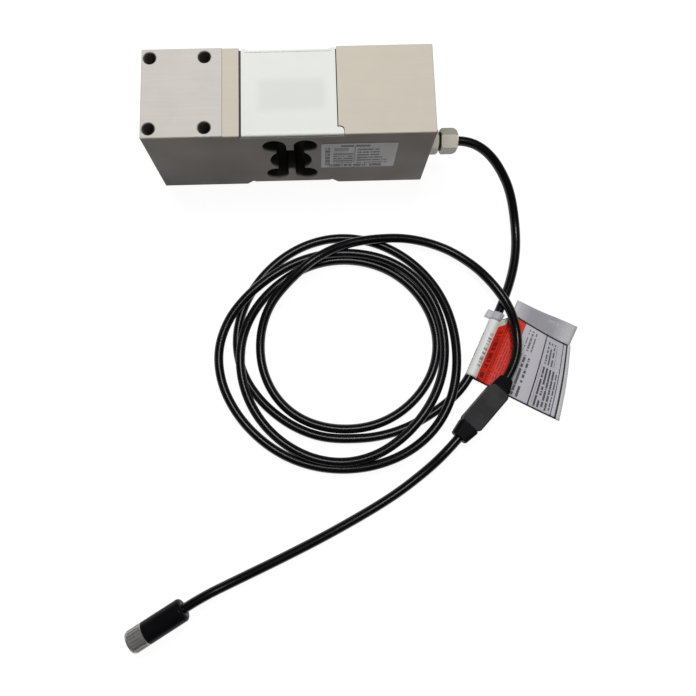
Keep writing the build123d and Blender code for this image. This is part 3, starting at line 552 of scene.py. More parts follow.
class Palette:
    """Every finish of the load cell, made when first asked for."""

    # Painted shade: the beam's upright faces get a darker colour than its top.
    BEAM = Finish("anodised_beam", (0.59, 0.563, 0.525), 0.46, 0.05, specular=0.3, grain_scale=700.0,
                  grain_shade=0.05, grain_bump=0.12, rough_spread=0.12, mapping=Mapping.ALONG_X,
                  wear_colour=(0.30, 0.28, 0.25), wear_radius=0.35, wear_amount=0.7,
                  dust_colour=(0.44, 0.41, 0.36), dust_amount=0.16,
                  upright_shade_colour=(0.325, 0.281, 0.258), upright_shade_amount=0.95)
    COVER = Finish("moulded_cover", (0.72, 0.73, 0.695), 0.62, specular=0.3, grain_scale=1500.0,
                   grain_shade=0.015, wear_colour=(0.77, 0.78, 0.76), dust_colour=(0.64, 0.64, 0.60),
                   dust_amount=0.2)
    PLATE = Finish("plate_foil", (0.37, 0.37, 0.37), 0.4, 0.4, grain_scale=1400.0, grain_shade=0.05,
                   mapping=Mapping.ALONG_X, wear_colour=(0.55, 0.55, 0.54), wear_radius=0.3)
    GLAND = Finish("plated_gland", (0.90, 0.86, 0.72), 0.28, 0.3, grain_scale=1200.0, grain_shade=0.05,
                   wear_colour=(0.9, 0.88, 0.8), wear_radius=0.3)
    NUT = Finish("plated_ring", (0.47, 0.45, 0.44), 0.34, 0.6, grain_scale=420.0, grain_shade=0.2,
                 wear_colour=(0.5, 0.49, 0.48), wear_radius=0.15, wear_amount=0.5,
                 dust_colour=(0.16, 0.15, 0.15), dust_amount=0.3)
    # Painted shade: a dark finish for the shaded inside of the tapped holes.
    SHADED_HOLE = Finish("tapped_hole_shade", (0.13, 0.12, 0.105), 0.45, 0.3, grain_scale=1200.0, grain_shade=0.1)
    CABLE = Finish("cable_jacket", (0.005, 0.005, 0.006), 0.24, specular=0.4, grain_bump=0.02,
                   grain_shade=0.2, rough_spread=0.03, dust_colour=(0.02, 0.02, 0.02), dust_amount=0.2)
    MODULE = Finish("module_moulding", (0.030, 0.030, 0.031), 0.62, specular=0.25, grain_scale=2400.0,
                    grain_bump=0.35, grain_shade=0.15, wear_colour=(0.06, 0.06, 0.06))
    BOOT = Finish("boot_rubber", (0.006, 0.006, 0.008), 0.45, specular=0.05, grain_scale=1500.0,
                  grain_bump=0.1, wear_colour=(0.016, 0.016, 0.017), wear_radius=0.4,
                  dust_colour=(0.03, 0.03, 0.03))
    GRIP = Finish("connector_grip", (0.005, 0.005, 0.006), 0.3, specular=0.07, grain_scale=1700.0,
                  grain_bump=0.08, wear_colour=(0.016, 0.016, 0.017), dust_colour=(0.03, 0.03, 0.03))
    SEAL = Finish("seal_rubber", (0.012, 0.012, 0.012), 0.6, grain_scale=1800.0, grain_bump=0.2)
    CARRIER = Finish("contact_insulator", (0.02, 0.02, 0.02), grain_scale=2000.0, grain_bump=0.1)
    CONTACT = Finish("gilt_contact", (0.86, 0.6, 0.22), 0.25, 0.95, grain_scale=2500.0)
    GAUGE = Finish("gauge_film", (0.55, 0.33, 0.08), 0.3, grain_scale=1500.0, coat=0.4)
    WIRE = Finish("lacquered_wire", (0.62, 0.24, 0.08), 0.35, 0.3, grain_scale=2000.0)
    BUNDLE = Finish("conductor_sleeve", (0.4, 0.41, 0.43), grain_scale=2500.0, grain_shade=0.2)
    BOARD = Finish("circuit_board", (0.03, 0.2, 0.07), 0.35, coat=0.5)
    CHIP = Finish("chip_resistor", (0.03, 0.03, 0.03), 0.45, grain_scale=1500.0)
    FILM = Finish("tag_film", (0.50, 0.49, 0.525), 0.35, specular=0.4, grain_scale=800.0,
                  grain_shade=0.04, dust_amount=0.0)
    CLEAR = Finish("clear_film", (0.55, 0.55, 0.58), 0.25, grain_scale=700.0, grain_bump=0.1,
                   dust_amount=0.0, alpha=0.72)

    def __init__(self) -> None:
        """Builds the shared groups."""
        self.effects = Effects()
        self.made: dict[str, BuiltFinish] = {}

    def get(self, finish: Finish) -> BuiltFinish:
        """Gives a finish's material, made once.

        Args:
            finish: the finish.

        Returns:
            The built finish.
        """
        if finish.name not in self.made:
            self.made[finish.name] = finish.build(self.effects)
        return self.made[finish.name]

    def dress(self, finish: Finish, *nodes: str) -> None:
        """Gives CAD nodes their finish.

        Args:
            finish: the finish.
            nodes: the nodes' names.
        """
        material = self.get(finish).material
        for node in nodes:
            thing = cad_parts[node]
            if thing.material_slots:
                for place in thing.material_slots:
                    place.material = material
            else:
                thing.data.materials.append(material)
            log.info("dressed %s in %s", node, finish.name)

    def join(self, thing: Thing, finish: Finish, body: Body, slot: str) -> Thing:
        """Dresses a made piece and joins it to its body.

        Args:
            thing: the piece.
            finish: its finish.
            body: the body that it rides on.
            slot: the slot that it belongs to; not used.

        Returns:
            The piece.
        """
        thing.data.materials.append(self.get(finish).material)
        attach(thing, body.value)
        log.info("made %s", thing.name)
        return thing


def put(name: str, data: bpy.types.ID) -> Thing:
    """Puts a mesh, curve, light or camera into the scene as a new object and gives the object."""
    thing = bpy.data.objects.new(name, data)
    bpy.context.scene.collection.objects.link(thing)
    return thing


def new_mesh(name: str, shape: bmesh.types.BMesh, smooth: bool = False) -> Thing:
    """Turns a bmesh, in metres, into an object of the scene.

    Args:
        name: the object's name.
        shape: the mesh; it is freed.
        smooth: whether its faces are shaded smooth.

    Returns:
        The new object.
    """
    mesh = bpy.data.meshes.new(name)
    bmesh.ops.recalc_face_normals(shape, faces=shape.faces)
    shape.to_mesh(mesh)
    shape.free()
    if smooth:
        mesh.polygons.foreach_set("use_smooth", [True] * len(mesh.polygons))
    return put(name, mesh)


@dataclass
class Thread:
    """A screw thread as a thin helical sleeve on a plain hole or shaft."""

    outer: float
    inner: float
    pitch: float
    length: float
    segments: int = 28
    steps: int = 4

    def build(self, name: str, place: Matrix) -> Thing:
        """Makes the sleeve along local +Z from the origin.

        Args:
            name: the object's name.
            place: where it goes, in metres.

        Returns:
            The sleeve.
        """
        shape = bmesh.new()
        rings = []
        for ring_index in range(int(self.length / self.pitch * self.steps) + 1):
            ring = []
            for segment in range(self.segments):
                turn = segment / self.segments
                phase = (ring_index / self.steps + turn) % 1.0
                radius = blend(self.inner, self.outer, 1.0 - abs(2.0 * phase - 1.0))
                angle = 2.0 * math.pi * turn
                height = ring_index * self.pitch / self.steps
                point = Vector((radius * math.cos(angle), radius * math.sin(angle), height)) * MM
                ring.append(shape.verts.new(place @ point))
            rings.append(ring)
        for low, high in zip(rings, rings[1:]):
            for index in range(self.segments):
                after = (index + 1) % self.segments
                shape.faces.new((low[index], low[after], high[after], high[index]))
        return new_mesh(name, shape)


@dataclass
class Beam:
    """The machined block with its tapped holes, covers, plate and inner pieces."""

    palette: Palette
    hole_x: tuple[float, float] = (50.0, 83.0)
    hole_y: float = 23.0
    pad_top: float = 64.0
    thread_inset: float = 0.5
    hole_thread: Thread = field(default_factory=lambda: Thread(3.97, 3.4, 1.25, 16.0))
    pocket_tint: Patch = Patch((-18.0, 22.0, -12.0, 8.0), (0.58, 0.595, 0.585), 0.45, 5.0)
    # A warm tone on most of the top, then painted shade: darker towards the foot of the load end, and dark
    # lines in the gaps beside the top cover.
    side_tint_and_shade: tuple[Patch, ...] = (
        Patch((-39.5, 89.0, 63.15, 70.0), (0.56, 0.495, 0.36), 0.45, 0.2),
        Patch((-120.0, -26.0, -40.0, 26.0), (0.07, 0.058, 0.052), 0.85, 40.0),
        Patch((-29.55, -28.0, 60.8, 63.3), (0.05, 0.048, 0.045), 0.9),
        Patch((28.6, 29.55, 60.8, 63.3), (0.05, 0.048, 0.045), 0.9),
    )
    # Painted shade: the inside of the through-opening and the floors of the tapped holes are darkened.
    window_shade: Patch = Patch((-20.0, 20.0, -28.0, 28.0), (0.03, 0.03, 0.027), 0.93, 2.0)
    hole_floor_shade: Patch = Patch((-2.3, 2.3, -2.3, 2.3), (0.10, 0.09, 0.075), 0.85, 1.0)
    plate_corner: tuple[float, float] = (19.3, 22.3)
    plate_ink: Colour = (0.035, 0.035, 0.04)
    plate_blocks: tuple[tuple[Box, float], ...] = (
        ((2.2, 5.6, 3.0, 24.0), 0.35),
        ((20.5, 21.2, 6.0, 28.0), 0.7),
        ((8.0, 17.0, 21.0, 25.5), 0.6),
    )
    plate_rows: tuple[tuple[Box, float, float, float, float], ...] = (
        ((2.4, 5.4, 2.0, 26.0), 4.2, 0.7, 0.9, 0.40),
        ((7.5, 20.0, 5.4, 20.0), 3.0, 0.6, 0.8, 0.38),
        ((12.0, 30.0, 26.4, 28.6), 2.7, 0.95, 0.6, 0.40),
        ((22.5, 36.5, 5.4, 25.6), 3.4, 0.55, 0.7, 0.40),
        ((36.5, 42.0, 5.4, 14.0), 3.1, 0.5, 0.9, 0.42),
        ((5.0, 39.0, 1.0, 4.4), 10.0, 1.0, 1.3, 0.40),
    )

    def build(self) -> None:
        """Dresses the block and its pieces and adds the threads of its holes."""
        dress = self.palette.dress
        dress(Palette.BEAM, "beam")
        dress(Palette.COVER, "top_cover", "base_cover")
        dress(Palette.PLATE, "rating_plate")
        dress(Palette.GAUGE, "gauge_top_left", "gauge_top_right", "gauge_base_left", "gauge_base_right")
        dress(Palette.WIRE, "top_bridge_wires", "base_bridge_wires")
        dress(Palette.BUNDLE, "conductor_bundle")
        dress(Palette.BOARD, "terminal_board")
        dress(Palette.CHIP, "trim_resistors")
        self._shade()
        self._print_plate()
        self._threads()

    def _holes(self) -> list[tuple[float, float]]:
        """Gives the holes of the fixed end as X and Y; the load end has them mirrored."""
        return [(x, y) for x in self.hole_x for y in (-self.hole_y, self.hole_y)]

    def _shade(self) -> None:
        """Paints shade into the block's through-opening, its foot, the gaps beside the top cover and the hole
        floors, tints most of its top warm, and tints the cover over the pocket.
        """
        metal = self.palette.get(Palette.BEAM)
        metal.paint(metal.coordinates(0, 2), *self.side_tint_and_shade)
        flat = metal.coordinates(0, 1)
        metal.paint(flat, self.window_shade)
        for x, y in self._holes():
            metal.paint(flat, self.hole_floor_shade, corner=(-x, y))
        cover = self.palette.get(Palette.COVER)
        cover.paint(cover.coordinates(0, 1), self.pocket_tint)

    def _print_plate(self) -> None:
        """Lays generic bars and boxes over the plate, with no words."""
        foil = self.palette.get(Palette.PLATE)
        blocks = [Patch(limits, self.plate_ink, strength, 0.3) for limits, strength in self.plate_blocks]
        rows = [Rows(limits, self.plate_ink, *sizes) for limits, *sizes in self.plate_rows]
        foil.paint(foil.coordinates(0, 2), *blocks, *rows, corner=self.plate_corner)

    def _threads(self) -> None:
        """Cuts the look of a thread into each tapped hole, upper and lower."""
        for end, side, height, turn in (("load", -1.0, self.pad_top - self.thread_inset, math.pi),
                                        ("base", 1.0, self.thread_inset, 0.0)):
            for x, y in self._holes():
                name = f"hole_thread_{end}_{int(x)}_{'front' if y < 0 else 'back'}"
                place = Matrix.Translation(Vector((side * x, y, height)) * MM) @ Matrix.Rotation(turn, 4, "X")
                sleeve = self.hole_thread.build(name, place)
                # The sleeves take the dark finish that paints the shade inside the holes.
                self.palette.join(sleeve, Palette.SHADED_HOLE, Body.CELL, "beam_metal")


@dataclass
class Gland:
    """The cable gland with the thread that shows between its flange and its nut."""

    palette: Palette
    start: float = 94.05
    # Painted shade on the gland: darker on the front side below the top, and over the back half.
    facet_shade: tuple[Patch, ...] = (
        Patch((-40.0, PORT_Y - 6.6, 10.0, PORT_Z + 4.1), (0.34, 0.33, 0.285), 0.85, 0.3),
        Patch((PORT_Y + 0.1, 0.0, 10.0, 50.0), (0.27, 0.265, 0.215), 0.85, 0.3),
    )
    thread: Thread = field(default_factory=lambda: Thread(5.9, 5.52, 0.8, 1.6, 36))

    def build(self) -> None:
        """Dresses the gland, paints shade on parts of its flats and adds its thread."""
        self.palette.dress(Palette.GLAND, "gland_body", "gland_nut")
        self.palette.dress(Palette.SEAL, "gland_o_ring", "gland_seal")
        metal = self.palette.get(Palette.GLAND)
        metal.paint(metal.coordinates(1, 2), *self.facet_shade)
        place = Matrix.Translation(Vector((self.start, PORT_Y, PORT_Z)) * MM)
        sleeve = self.thread.build("gland_thread", place @ Matrix.Rotation(math.pi / 2, 4, "Y"))
        self.palette.join(sleeve, Palette.SEAL, Body.CELL, "gland_metal")


@dataclass
class Coil:
    """The loose turns of the cable, from the lead's end to the start of the run-out."""

    centre: tuple[float, float] = (30.0, -147.0)
    start_degrees: float = 270.0
    step_degrees: float = 45.0
    points_per_step: int = 3
    last_step: float = 27.0
    radii: tuple[float, ...] = (
        58.1, 60.2, 68.5, 71.8, 75.9, 74.5, 73.3, 78.0,
        77.2, 78.7, 80.4, 66.4, 63.7, 67.2, 66.1, 67.0,
        73.2, 70.5, 65.6, 60.5, 60.3, 62.2, 62.2, 56.0,
        52.0, 53.0, 53.4, 55.1,
    )
    heights: tuple[float, ...] = (
        3.1, 3.1, 3.1, 3.1, 3.1, 4.0, 8.0, 9.6,
        4.5, 3.1, 6.5, 9.6, 7.6, 7.4, 7.4, 9.3,
        7.0, 7.0, 9.4, 4.0, 3.1, 3.1, 3.1, 3.1,
        3.1, 3.1, 4.0, 9.5,
    )

    @staticmethod
    def _between(values: tuple[float, ...], at: float) -> float:
        """Reads a smooth curve through evenly spaced values.

        Args:
            values: the values.
            at: place, in steps from the first.

        Returns:
            The value there.
        """
        index = min(int(at), len(values) - 2)
        share = at - index
        before = values[max(index - 1, 0)]
        low, high = values[index], values[index + 1]
        after = values[min(index + 2, len(values) - 1)]
        rise_low = (high - before) / 2.0
        rise_high = (after - low) / 2.0
        square, cube = share * share, share ** 3
        return ((2 * cube - 3 * square + 1) * low + (cube - 2 * square + share) * rise_low
                + (3 * square - 2 * cube) * high + (cube - square) * rise_high)

    def points(self) -> list[Point]:
        """Works out the turns' control points, a little outside their line, which a spline draws in.

        Returns:
            The points, in millimetres.
        """
        step = self.step_degrees / self.points_per_step
        outward = 1.0 / math.cos(math.radians(step / 2.0))
        made = []
        for index in range(int(self.last_step * self.points_per_step) + 1):
            at = index / self.points_per_step
            angle = math.radians(self.start_degrees - self.step_degrees * at)
            radius = self._between(self.radii, at) * outward
            made.append((self.centre[0] + radius * math.cos(angle), self.centre[1] + radius * math.sin(angle),
                         self._between(self.heights, at)))
        return made


@dataclass
class Cable:
    """The cable's two free stretches, each one smooth spline."""

    palette: Palette
    coil: Coil = field(default_factory=Coil)
    gland_face: float = 107.1
    round_steps: int = 6
    length_steps: int = 10
    main_length: float = 1.94
    tail_length: float = 0.2

    def _spline(self, name: str, route: list[Point]) -> Thing:
        """Makes a round cable along a route.

        Args:
            name: the object's name.
            route: control points, in millimetres.

        Returns:
            The curve object.
        """
        curve = bpy.data.curves.new(name, "CURVE")
        curve.dimensions = "3D"
        curve.bevel_depth = CABLE_DIAMETER / 2.0 * MM
        curve.bevel_resolution = self.round_steps
        curve.use_fill_caps = True
        spline = curve.splines.new("NURBS")
        spline.points.add(len(route) - 1)
        for point, place in zip(spline.points, route):
            point.co = (*(value * MM for value in place), 1.0)
        spline.order_u = 3
        spline.use_endpoint_u = True
        spline.resolution_u = self.length_steps
        return self.palette.join(put(name, curve), Palette.CABLE, Body.CELL, "cable_jacket")

    def build(self, tag_pieces: list[Thing]) -> None:
        """Args:
            tag_pieces: the pieces of the tag that hangs on the cable; not used.
        """
        main = self._spline("main_cable", LEAD_ROUTE + self.coil.points() + RUN_OUT_ROUTE)
        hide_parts("cable_lead", "cable_coil", "cable_run_out")
        tail = self._spline("tail_cable", TAIL_ROUTE)
        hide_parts("cable_tail")


@dataclass
class Module:
    """The inline module and its boots."""

    palette: Palette

    def build(self) -> None:
        """Dresses the module."""
        self.palette.dress(Palette.MODULE, "module_upper_shell", "module_lower_shell")
        self.palette.dress(Palette.BOARD, "module_board")
        self.palette.dress(Palette.BOOT, "module_boot_in", "module_boot_out")


@dataclass
class Connector:
    """The round connector with its coupling nut."""

    palette: Palette
    thread_start: float = 29.6
    thread: Thread = field(default_factory=lambda: Thread(5.58, 5.42, 1.0, 7.0, 36))

    def build(self) -> None:
        """Dresses the connector and threads the nut."""
        for finish, node in ((Palette.GRIP, "connector_body"), (Palette.CARRIER, "contact_carrier"),
                             (Palette.CONTACT, "contact_sockets"), (Palette.SEAL, "connector_seal"),
                             (Palette.NUT, "coupling_nut")):
            self.palette.dress(finish, node)
        start = along(CONNECTOR_START, CONNECTOR_HEADING, self.thread_start, CONNECTOR_Z)
        place = Matrix.Translation(Vector(start) * MM) @ facing(heading(CONNECTOR_HEADING))
        self.palette.join(self.thread.build("nut_thread", place), Palette.NUT, Body.NUT, "nut_metal")


@dataclass
class CableTag:
    """The folded tag on the cable: a printed film with a loop, a clear tail and a clear ear.

    Places on it are given from the point where the cable runs straight under it: U across the
    cable and W along it. Its print lies in a UV map in millimetres, U across and V along.
    """

    INK = (0.02, 0.02, 0.022)
    RED = (0.66, 0.028, 0.014)
    RED_INK = (0.12, 0.01, 0.008)

    palette: Palette
    print_map: str = "print_mm"
    rows: int = 28
    flag_columns: int = 16
    loop_columns: int = 22
    wedge: float = 9.5
    fold_share: float = 0.7
    loop_radius: float = 3.52
    top_layer: float = 0.75
    base_layer: float = 0.35
    loop_top: float = 7.0
    panel_top: float = 13.4
    panel_left: float = 10.2
    slant_start: float = 20.5
    right_top: float = 52.0
    right_end: float = 63.0
    left_end: float = -33.7
    end_drop: float = 2.0
    right_bow: float = 1.0
    top_bow: float = 4.4
    bow_power: float = 1.5
    curl_start: float = 38.0
    curl_height: float = 2.0
    curl_fade: float = 0.5
    film: float = 0.3
    tail_u: tuple[float, float] = (8.8, 51.6)
    tail_w: tuple[float, float] = (12.5, 27.4)
    tail_wave: float = 1.6
    tail_ripple: tuple[float, float] = (7.0, 2.0)
    tail_columns: int = 18
    tail_rows: int = 6
    ear_left: float = -7.6
    ear_lip: tuple[float, float] = (2.5, 0.3)
    ear_radius: float = 3.7
    ear_start: float = 6.8
    ear_length: float = 6.0
    ear_slant: float = 0.75
    ear_columns: int = 9
    ear_rows: int = 4
    panel_scale: float = 50.0
    fields: tuple[Patch, ...] = (
        # The first field is painted shade over the curled right part of the panel; the rest is print.
        Patch((36.0, 60.0, -10.0, 60.0), (0.37, 0.36, 0.41), 0.45, 8.0),
        Patch((-5.0, 3.3, -1.0, 51.0), (0.70, 0.71, 0.69), 1.0, 0.1),
        Patch((3.3, 20.5, -1.0, 51.0), RED, 1.0, 0.1),
        Patch((9.4, 9.8, 1.0, 49.0), INK, 0.8),
        Patch((5.0, 7.6, 3.0, 7.0), INK, 0.8),
        Patch((3.3, 8.0, 44.5, 51.0), (0.66, 0.67, 0.58), 1.0, 0.4),
        Patch((50.0, 53.0, -1.0, 51.0), (0.66, 0.66, 0.68), 1.0, 0.2),
        Patch((35.3, 36.0, -1.0, 51.0), INK, 0.95),
        Patch((49.2, 50.2, -1.0, 51.0), INK, 0.95),
        Patch((47.1, 47.6, -1.0, 50.0), INK, 0.95),
        Patch((8.5, 50.2, 48.9, 51.0), INK, 0.95),
        Patch((3.3, 50.2, -1.0, 0.9), INK, 0.95),
    )
    bars: tuple[Rows, ...] = (
        Rows((9.0, 39.0, 0.05, 2.4), INK, 10.0, 1.0, 0.55, 0.5, 0.6),
        Rows((4.0, 40.0, -3.8, -3.2), INK, 10.0, 1.0, 0.6, 0.5, 0.6),
        Rows((2.0, 46.0, 10.4, 18.6), RED_INK, 1.7, 0.45, 0.7, 0.46, 0.7),
        Rows((10.0, 40.0, 5.0, 8.0), RED_INK, 10.0, 1.0, 0.45, 0.48, 0.75),
        Rows((2.0, 30.0, 22.5, 31.0), INK, 2.6, 0.5, 0.6, 0.42, 0.85),
        Rows((33.0, 47.0, 24.0, 29.5), INK, 2.6, 0.5, 0.8, 0.45, 0.7),
        Rows((2.0, 29.0, 37.0, 46.4), INK, 1.9, 0.55, 0.6, 0.39, 0.9),
        Rows((31.0, 46.0, 37.5, 44.0), INK, 1.9, 0.5, 0.6, 0.42, 0.8),
    )
    # Painted shade across the middle of the clear tail.
    tail_shade: Patch = Patch((16.0, 42.0, 10.0, 30.0), (0.26, 0.25, 0.28), 0.85, 9.0)

    @staticmethod
    def world(u: float, w: float, height: float) -> Vector:
        """Turns a place on the tag into one in the room, in metres."""
        turned = heading(TAG_HEADING) * u + heading(TAG_HEADING + 90.0) * w
        return Vector((TAG_ORIGIN[0] + turned.x, TAG_ORIGIN[1] + turned.y, height)) * MM

    @staticmethod
    def _round(radius: float, angle: float) -> tuple[float, float]:
        """Gives a place on a circle about the cable, as U and height."""
        return (radius * math.cos(angle), TAG_AXIS_Z + radius * math.sin(angle))

    def _section(self) -> list[tuple[float, float]]:
        """Lays out the film across the cable: upper layer, loop, lower layer.

        Returns:
            Places as U and height.
        """
        flag = [blend(self.right_top, self.wedge, share) for share in shares(self.flag_columns)]
        drop = self.top_layer - TAG_AXIS_Z
        base = math.atan2(drop, self.wedge)
        spread = math.acos(self.loop_radius / math.hypot(self.wedge, drop))
        loop = [self._round(self.loop_radius, base + spread + 2.0 * (math.pi - spread) * share)
                for share in shares(self.loop_columns)]
        return [(u, self.top_layer) for u in flag] + loop + [(u, self.base_layer) for u in reversed(flag)]

    def _place(self, across: float, share: float, height: float) -> Vector:
        """Finds where a place of the printed film lies in the room.

        Args:
            across: U on the film as if its right edge were straight.
            share: 0 at the front end of the film and 1 at its rear end.
            height: height of the film there.

        Returns:
            The place in metres.
        """
        right = blend(self.right_end, self.right_top, share) + self.right_bow * math.sin(math.pi * share)
        stretch = (right - self.slant_start) / (self.right_top - self.slant_start)
        u = min(across, self.slant_start) + max(across - self.slant_start, 0.0) * stretch
        front = self.left_end - self.end_drop * max(u, 0.0) / self.right_end
        fold = self.wedge * self.fold_share
        rise = limited((across - fold) / (self.panel_left - fold))
        reach = limited((across - self.panel_left) / (self.right_top - self.panel_left))
        bow = self.top_bow * rise * (1.0 - reach) ** self.bow_power
        rear = blend(self.loop_top, self.panel_top, rise) + bow
        curl = max(across - self.curl_start, 0.0) / (self.right_top - self.curl_start)
        lift = self.curl_height * curl * curl * (1.0 - self.curl_fade * share)
        return self.world(u, blend(front, rear, share), height + lift)

    def _film(self, name: str, finish: Finish, spots: list[list[Spot]]) -> Thing:
        """Makes a thin film through a grid of places.

        Args:
            name: the object's name.
            finish: the film's finish.
            spots: rows of places in metres, each with its U and V in millimetres for the print.

        Returns:
            The film.
        """
        shape = bmesh.new()
        layer = shape.loops.layers.uv.new(self.print_map)
        grid = [[shape.verts.new(place) for place, _ in row] for row in spots]
        for low in range(len(grid) - 1):
            for left in range(len(grid[0]) - 1):
                corners = [(low, left), (low, left + 1), (low + 1, left + 1), (low + 1, left)]
                face = shape.faces.new([grid[row][column] for row, column in corners])
                for loop, (row, column) in zip(face.loops, corners):
                    loop[layer].uv = spots[row][column][1]
        film = new_mesh(name, shape, smooth=True)
        thick = film.modifiers.new("film_thickness", "SOLIDIFY")
        thick.thickness = self.film * MM
        thick.offset = 0.0
        return self.palette.join(film, finish, Body.CELL, "tag_film")

    def _printed(self) -> Thing:
        """Makes the printed film with its loop round the cable."""
        spots = [[(self._place(across, share, height), (across, self.panel_scale * share))
                  for across, height in self._section()] for share in shares(self.rows)]
        return self._film("tag_printed", Palette.FILM, spots)

    def _tail(self) -> Thing:
        """Makes the clear tail, a flat film with a shallow wave.

        Returns:
            The film.
        """
        spots = []
        side_turn, end_turn = self.tail_ripple
        for share in shares(self.tail_rows):
            w = blend(*self.tail_w, share)
            row = []
            for across in shares(self.tail_columns):
                u = blend(*self.tail_u, across)
                ripple = 1.0 + math.sin(side_turn * across + end_turn * share)
                lift = share ** 2 * self.tail_wave * ripple / 2.0
                row.append((self.world(u, w, self.base_layer + lift), (u, w)))
            spots.append(row)
        return self._film("tag_clear_tail", Palette.CLEAR, spots)

    def _ear(self) -> Thing:
        """Makes the clear ear that laps over the cable behind the loop.

        Returns:
            The film.
        """
        step, rise = self.ear_lip
        section = [(self.ear_left, TAG_AXIS_Z), (self.ear_left + step, TAG_AXIS_Z + rise)]
        section += [self._round(self.ear_radius, math.pi * (1.0 - share))
                    for share in shares(self.ear_columns)]
        spots = []
        for share in shares(self.ear_rows):
            w = self.ear_start + self.ear_length * share
            spots.append([(self.world(u + self.ear_slant * share, w, height), (u, w))
                          for u, height in section])
        return self._film("tag_clear_ear", Palette.CLEAR, spots)

    def _print(self) -> None:
        """Prints the film with plain fields, lines and rows of bars, with no words or signs, and paints shade
        on the film and on the clear tail.
        """
        film = self.palette.get(Palette.FILM)
        across, lengthwise = film.coordinates(0, 1, self.print_map)
        film.paint((across, lengthwise), *self.fields)
        film.paint((lengthwise, across), *self.bars)
        clear = self.palette.get(Palette.CLEAR)
        clear.paint(clear.coordinates(0, 1, self.print_map), self.tail_shade)

    def build(self) -> list[Thing]:
        """Makes the tag's pieces.

        Returns:
            The pieces, which hang on the cable.
        """
        self._print()
        printed = self._printed()
        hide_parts("cable_tag")
        return [printed, self._tail(), self._ear()]


@dataclass(frozen=True)
class Lamp:
    """A square soft lamp: places and side in metres, power in watts."""

    name: str
    place: Point
    target: Point
    size: float
    power: float
    mirrored: bool

    def build(self) -> None:
        """Hangs the lamp; glossy surfaces show it only where it is mirrored."""
        data = bpy.data.lights.new(self.name, "AREA")
        data.shape = "SQUARE"
        data.size = self.size
        data.energy = self.power
        thing = put(self.name, data)
        direction = Vector(self.target) - Vector(self.place)
        thing.matrix_world = Matrix.Translation(self.place) @ facing(direction, "-Z")
        thing.visible_camera = False
        thing.visible_glossy = self.mirrored


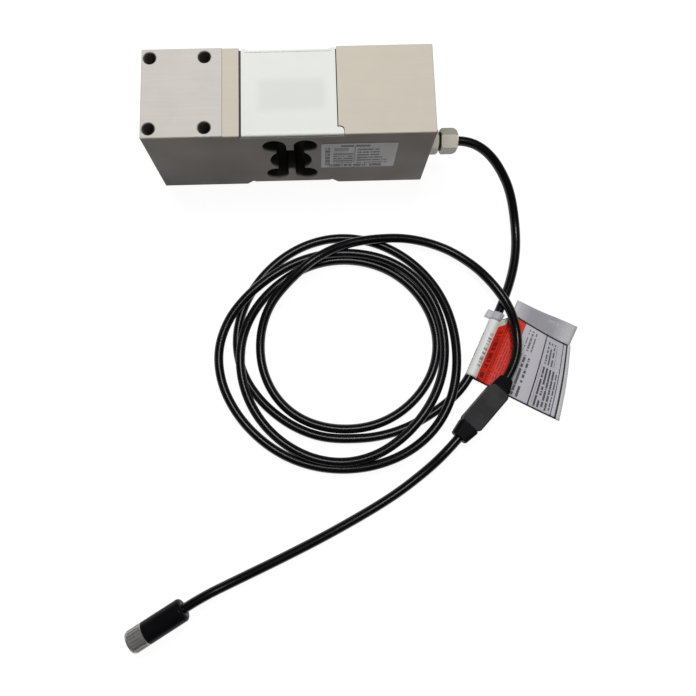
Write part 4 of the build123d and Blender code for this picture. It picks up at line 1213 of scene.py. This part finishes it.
@dataclass(frozen=True)
class Studio:
    """Floor, lamps, world and the camera of the photograph."""

    camera_place: Point = (13.6911, -216.3220, 399.5464)
    camera_turn: Point = (0.1656, -0.0007, -0.0248)
    focal_px: float = 614.56
    centre_px: tuple[float, float] = (319.05, 354.20)
    picture_px: float = 696.0
    sensor: float = 36.0
    sight: tuple[float, float] = (0.01, 20.0)
    ambient: float = 0.12
    floor_side: float = 6.0
    floor_drop: float = 0.0002
    floor_grey: float = 0.13
    floor_glow: float = 0.93
    floor_near: float = 0.5
    floor_far: float = 1.6
    lamps: tuple[Lamp, ...] = (
        Lamp("overhead_softbox", (-0.1, 0.45, 0.9), (0.0, -0.08, 0.0), 0.7, 8.8, False),
        Lamp("top_lamp", (0.12, -0.04, 0.95), (0.05, -0.12, 0.0), 0.28, 2.4, True),
    )
    flag_width: float = 3.4
    flag_height: float = 1.2
    flags: tuple[tuple[str, Point], ...] = (
        ("back_flag", (0.0, 1.2, 0.6)),
        ("front_flag", (0.0, -1.4, 0.6)),
        ("left_flag", (-1.4, 0.0, 0.6)),
        ("right_flag", (1.4, 0.0, 0.6)),
    )

    def camera(self) -> None:
        """Sets the camera as the photograph has it."""
        data = bpy.data.cameras.new("photo_camera")
        data.sensor_width = self.sensor
        data.lens = self.focal_px / self.picture_px * self.sensor
        data.shift_x = (self.picture_px / 2.0 - self.centre_px[0]) / self.picture_px
        data.shift_y = (self.centre_px[1] - self.picture_px / 2.0) / self.picture_px
        data.clip_start, data.clip_end = self.sight
        thing = put("photo_camera", data)
        turn = Vector(self.camera_turn)
        thing.matrix_world = (Matrix.Translation(Vector(self.camera_place) * MM)
                              @ Matrix.Rotation(turn.length, 4, turn.normalized()))
        bpy.context.scene.camera = thing

    @staticmethod
    def _seen(desk: NodeDesk) -> Socket:
        """Gives 1 for camera, glossy and transmission rays and 0 for the rest.

        Args:
            desk: the desk to lay the nodes on.

        Returns:
            The socket.
        """
        path = desk.add("ShaderNodeLightPath")
        seen = desk.math("MAXIMUM", path.outputs["Is Camera Ray"], path.outputs["Is Glossy Ray"])
        return desk.math("MAXIMUM", seen, path.outputs["Is Transmission Ray"])

    @staticmethod
    def _sheet(name: str, width: float, height: float) -> tuple[Thing, NodeDesk, Socket]:
        """Makes a rectangle with an empty material of its own.

        Args:
            name: its name.
            width: its width in metres.
            height: its height in metres.

        Returns:
            The rectangle, a desk on its material and the material's surface input.
        """
        shape = bmesh.new()
        bmesh.ops.create_grid(shape, x_segments=1, y_segments=1, size=0.5)
        bmesh.ops.scale(shape, vec=(width, height, 1.0), verts=shape.verts)
        sheet = new_mesh(name, shape)
        material = bpy.data.materials.new(name)
        material.use_nodes = True
        nodes = material.node_tree.nodes
        nodes.remove(nodes["Principled BSDF"])
        sheet.data.materials.append(material)
        return sheet, NodeDesk(material.node_tree), nodes["Material Output"].inputs["Surface"]

    def floor(self) -> None:
        """Lays the pale floor, which stays white to the eye and keeps a faint shadow."""
        floor, desk, surface = self._sheet("studio_floor", self.floor_side, self.floor_side)
        floor.location.z = -self.floor_drop
        matt = desk.add("ShaderNodeBsdfDiffuse", Color=(self.floor_grey, self.floor_grey, self.floor_grey))
        reach = desk.add("ShaderNodeVectorMath", operation="LENGTH")
        desk.feed(desk.place(), reach.inputs[0])
        fade = desk.add("ShaderNodeMapRange", Value=reach.outputs["Value"], From_Min=self.floor_near,
                        From_Max=self.floor_far, To_Min=self.floor_glow, To_Max=1.0)
        glow = desk.add("ShaderNodeEmission", Color=(1.0, 1.0, 1.0),
                        Strength=desk.math("MULTIPLY", self._seen(desk), fade.outputs[0]))
        both = desk.add("ShaderNodeAddShader")
        desk.feed(matt.outputs[0], both.inputs[0])
        desk.feed(glow.outputs[0], both.inputs[1])
        desk.feed(both.outputs[0], surface)

    def flag(self, name: str, place: Point, normal: Point, height: float) -> None:
        """Hangs a black card that only reflections see, as a studio does beside glossy things.

        Args:
            name: its name.
            place: its centre in metres.
            normal: the direction that it faces.
            height: its height in metres.
        """
        card, desk, surface = self._sheet(name, self.flag_width, height)
        card.matrix_world = Matrix.Translation(place) @ facing(Vector(normal))
        desk.feed(desk.add("ShaderNodeBsdfDiffuse", Color=(0.0, 0.0, 0.0)).outputs[0], surface)
        for ray in ("camera", "diffuse", "shadow", "transmission"):
            setattr(card, f"visible_{ray}", False)

    def world(self) -> None:
        """Gives a plain dim surround that is white where it is seen or mirrored."""
        world = bpy.data.worlds.new("studio_world")
        bpy.context.scene.world = world
        world.use_nodes = True
        desk = NodeDesk(world.node_tree)
        back = world.node_tree.nodes["Background"]
        extra = desk.math("MULTIPLY", self._seen(desk), 1.0 - self.ambient)
        desk.feed((1.0, 1.0, 1.0), back.inputs["Color"])
        desk.feed(desk.math("ADD", extra, self.ambient), back.inputs["Strength"])

    def build(self) -> None:
        """Sets up the whole studio."""
        self.camera()
        self.floor()
        self.world()
        for lamp in self.lamps:
            lamp.build()
        self.flag("overhead_flag", (0.0, 0.0, 1.2), (0.0, 0.0, -1.0), self.flag_width)
        for name, place in self.flags:
            self.flag(name, place, (-place[0], -place[1], 0.0), self.flag_height)
        bpy.context.scene.view_settings.view_transform = "Standard"


def main() -> None:
    """Builds the classes in order."""
    logging.basicConfig(level=logging.INFO, format="%(name)s %(message)s")
    palette = Palette()
    Studio().build()
    Beam(palette).build()
    Gland(palette).build()
    Module(palette).build()
    Connector(palette).build()
    Cable(palette).build(CableTag(palette).build())
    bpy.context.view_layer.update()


if __name__ == "__main__":
    main()
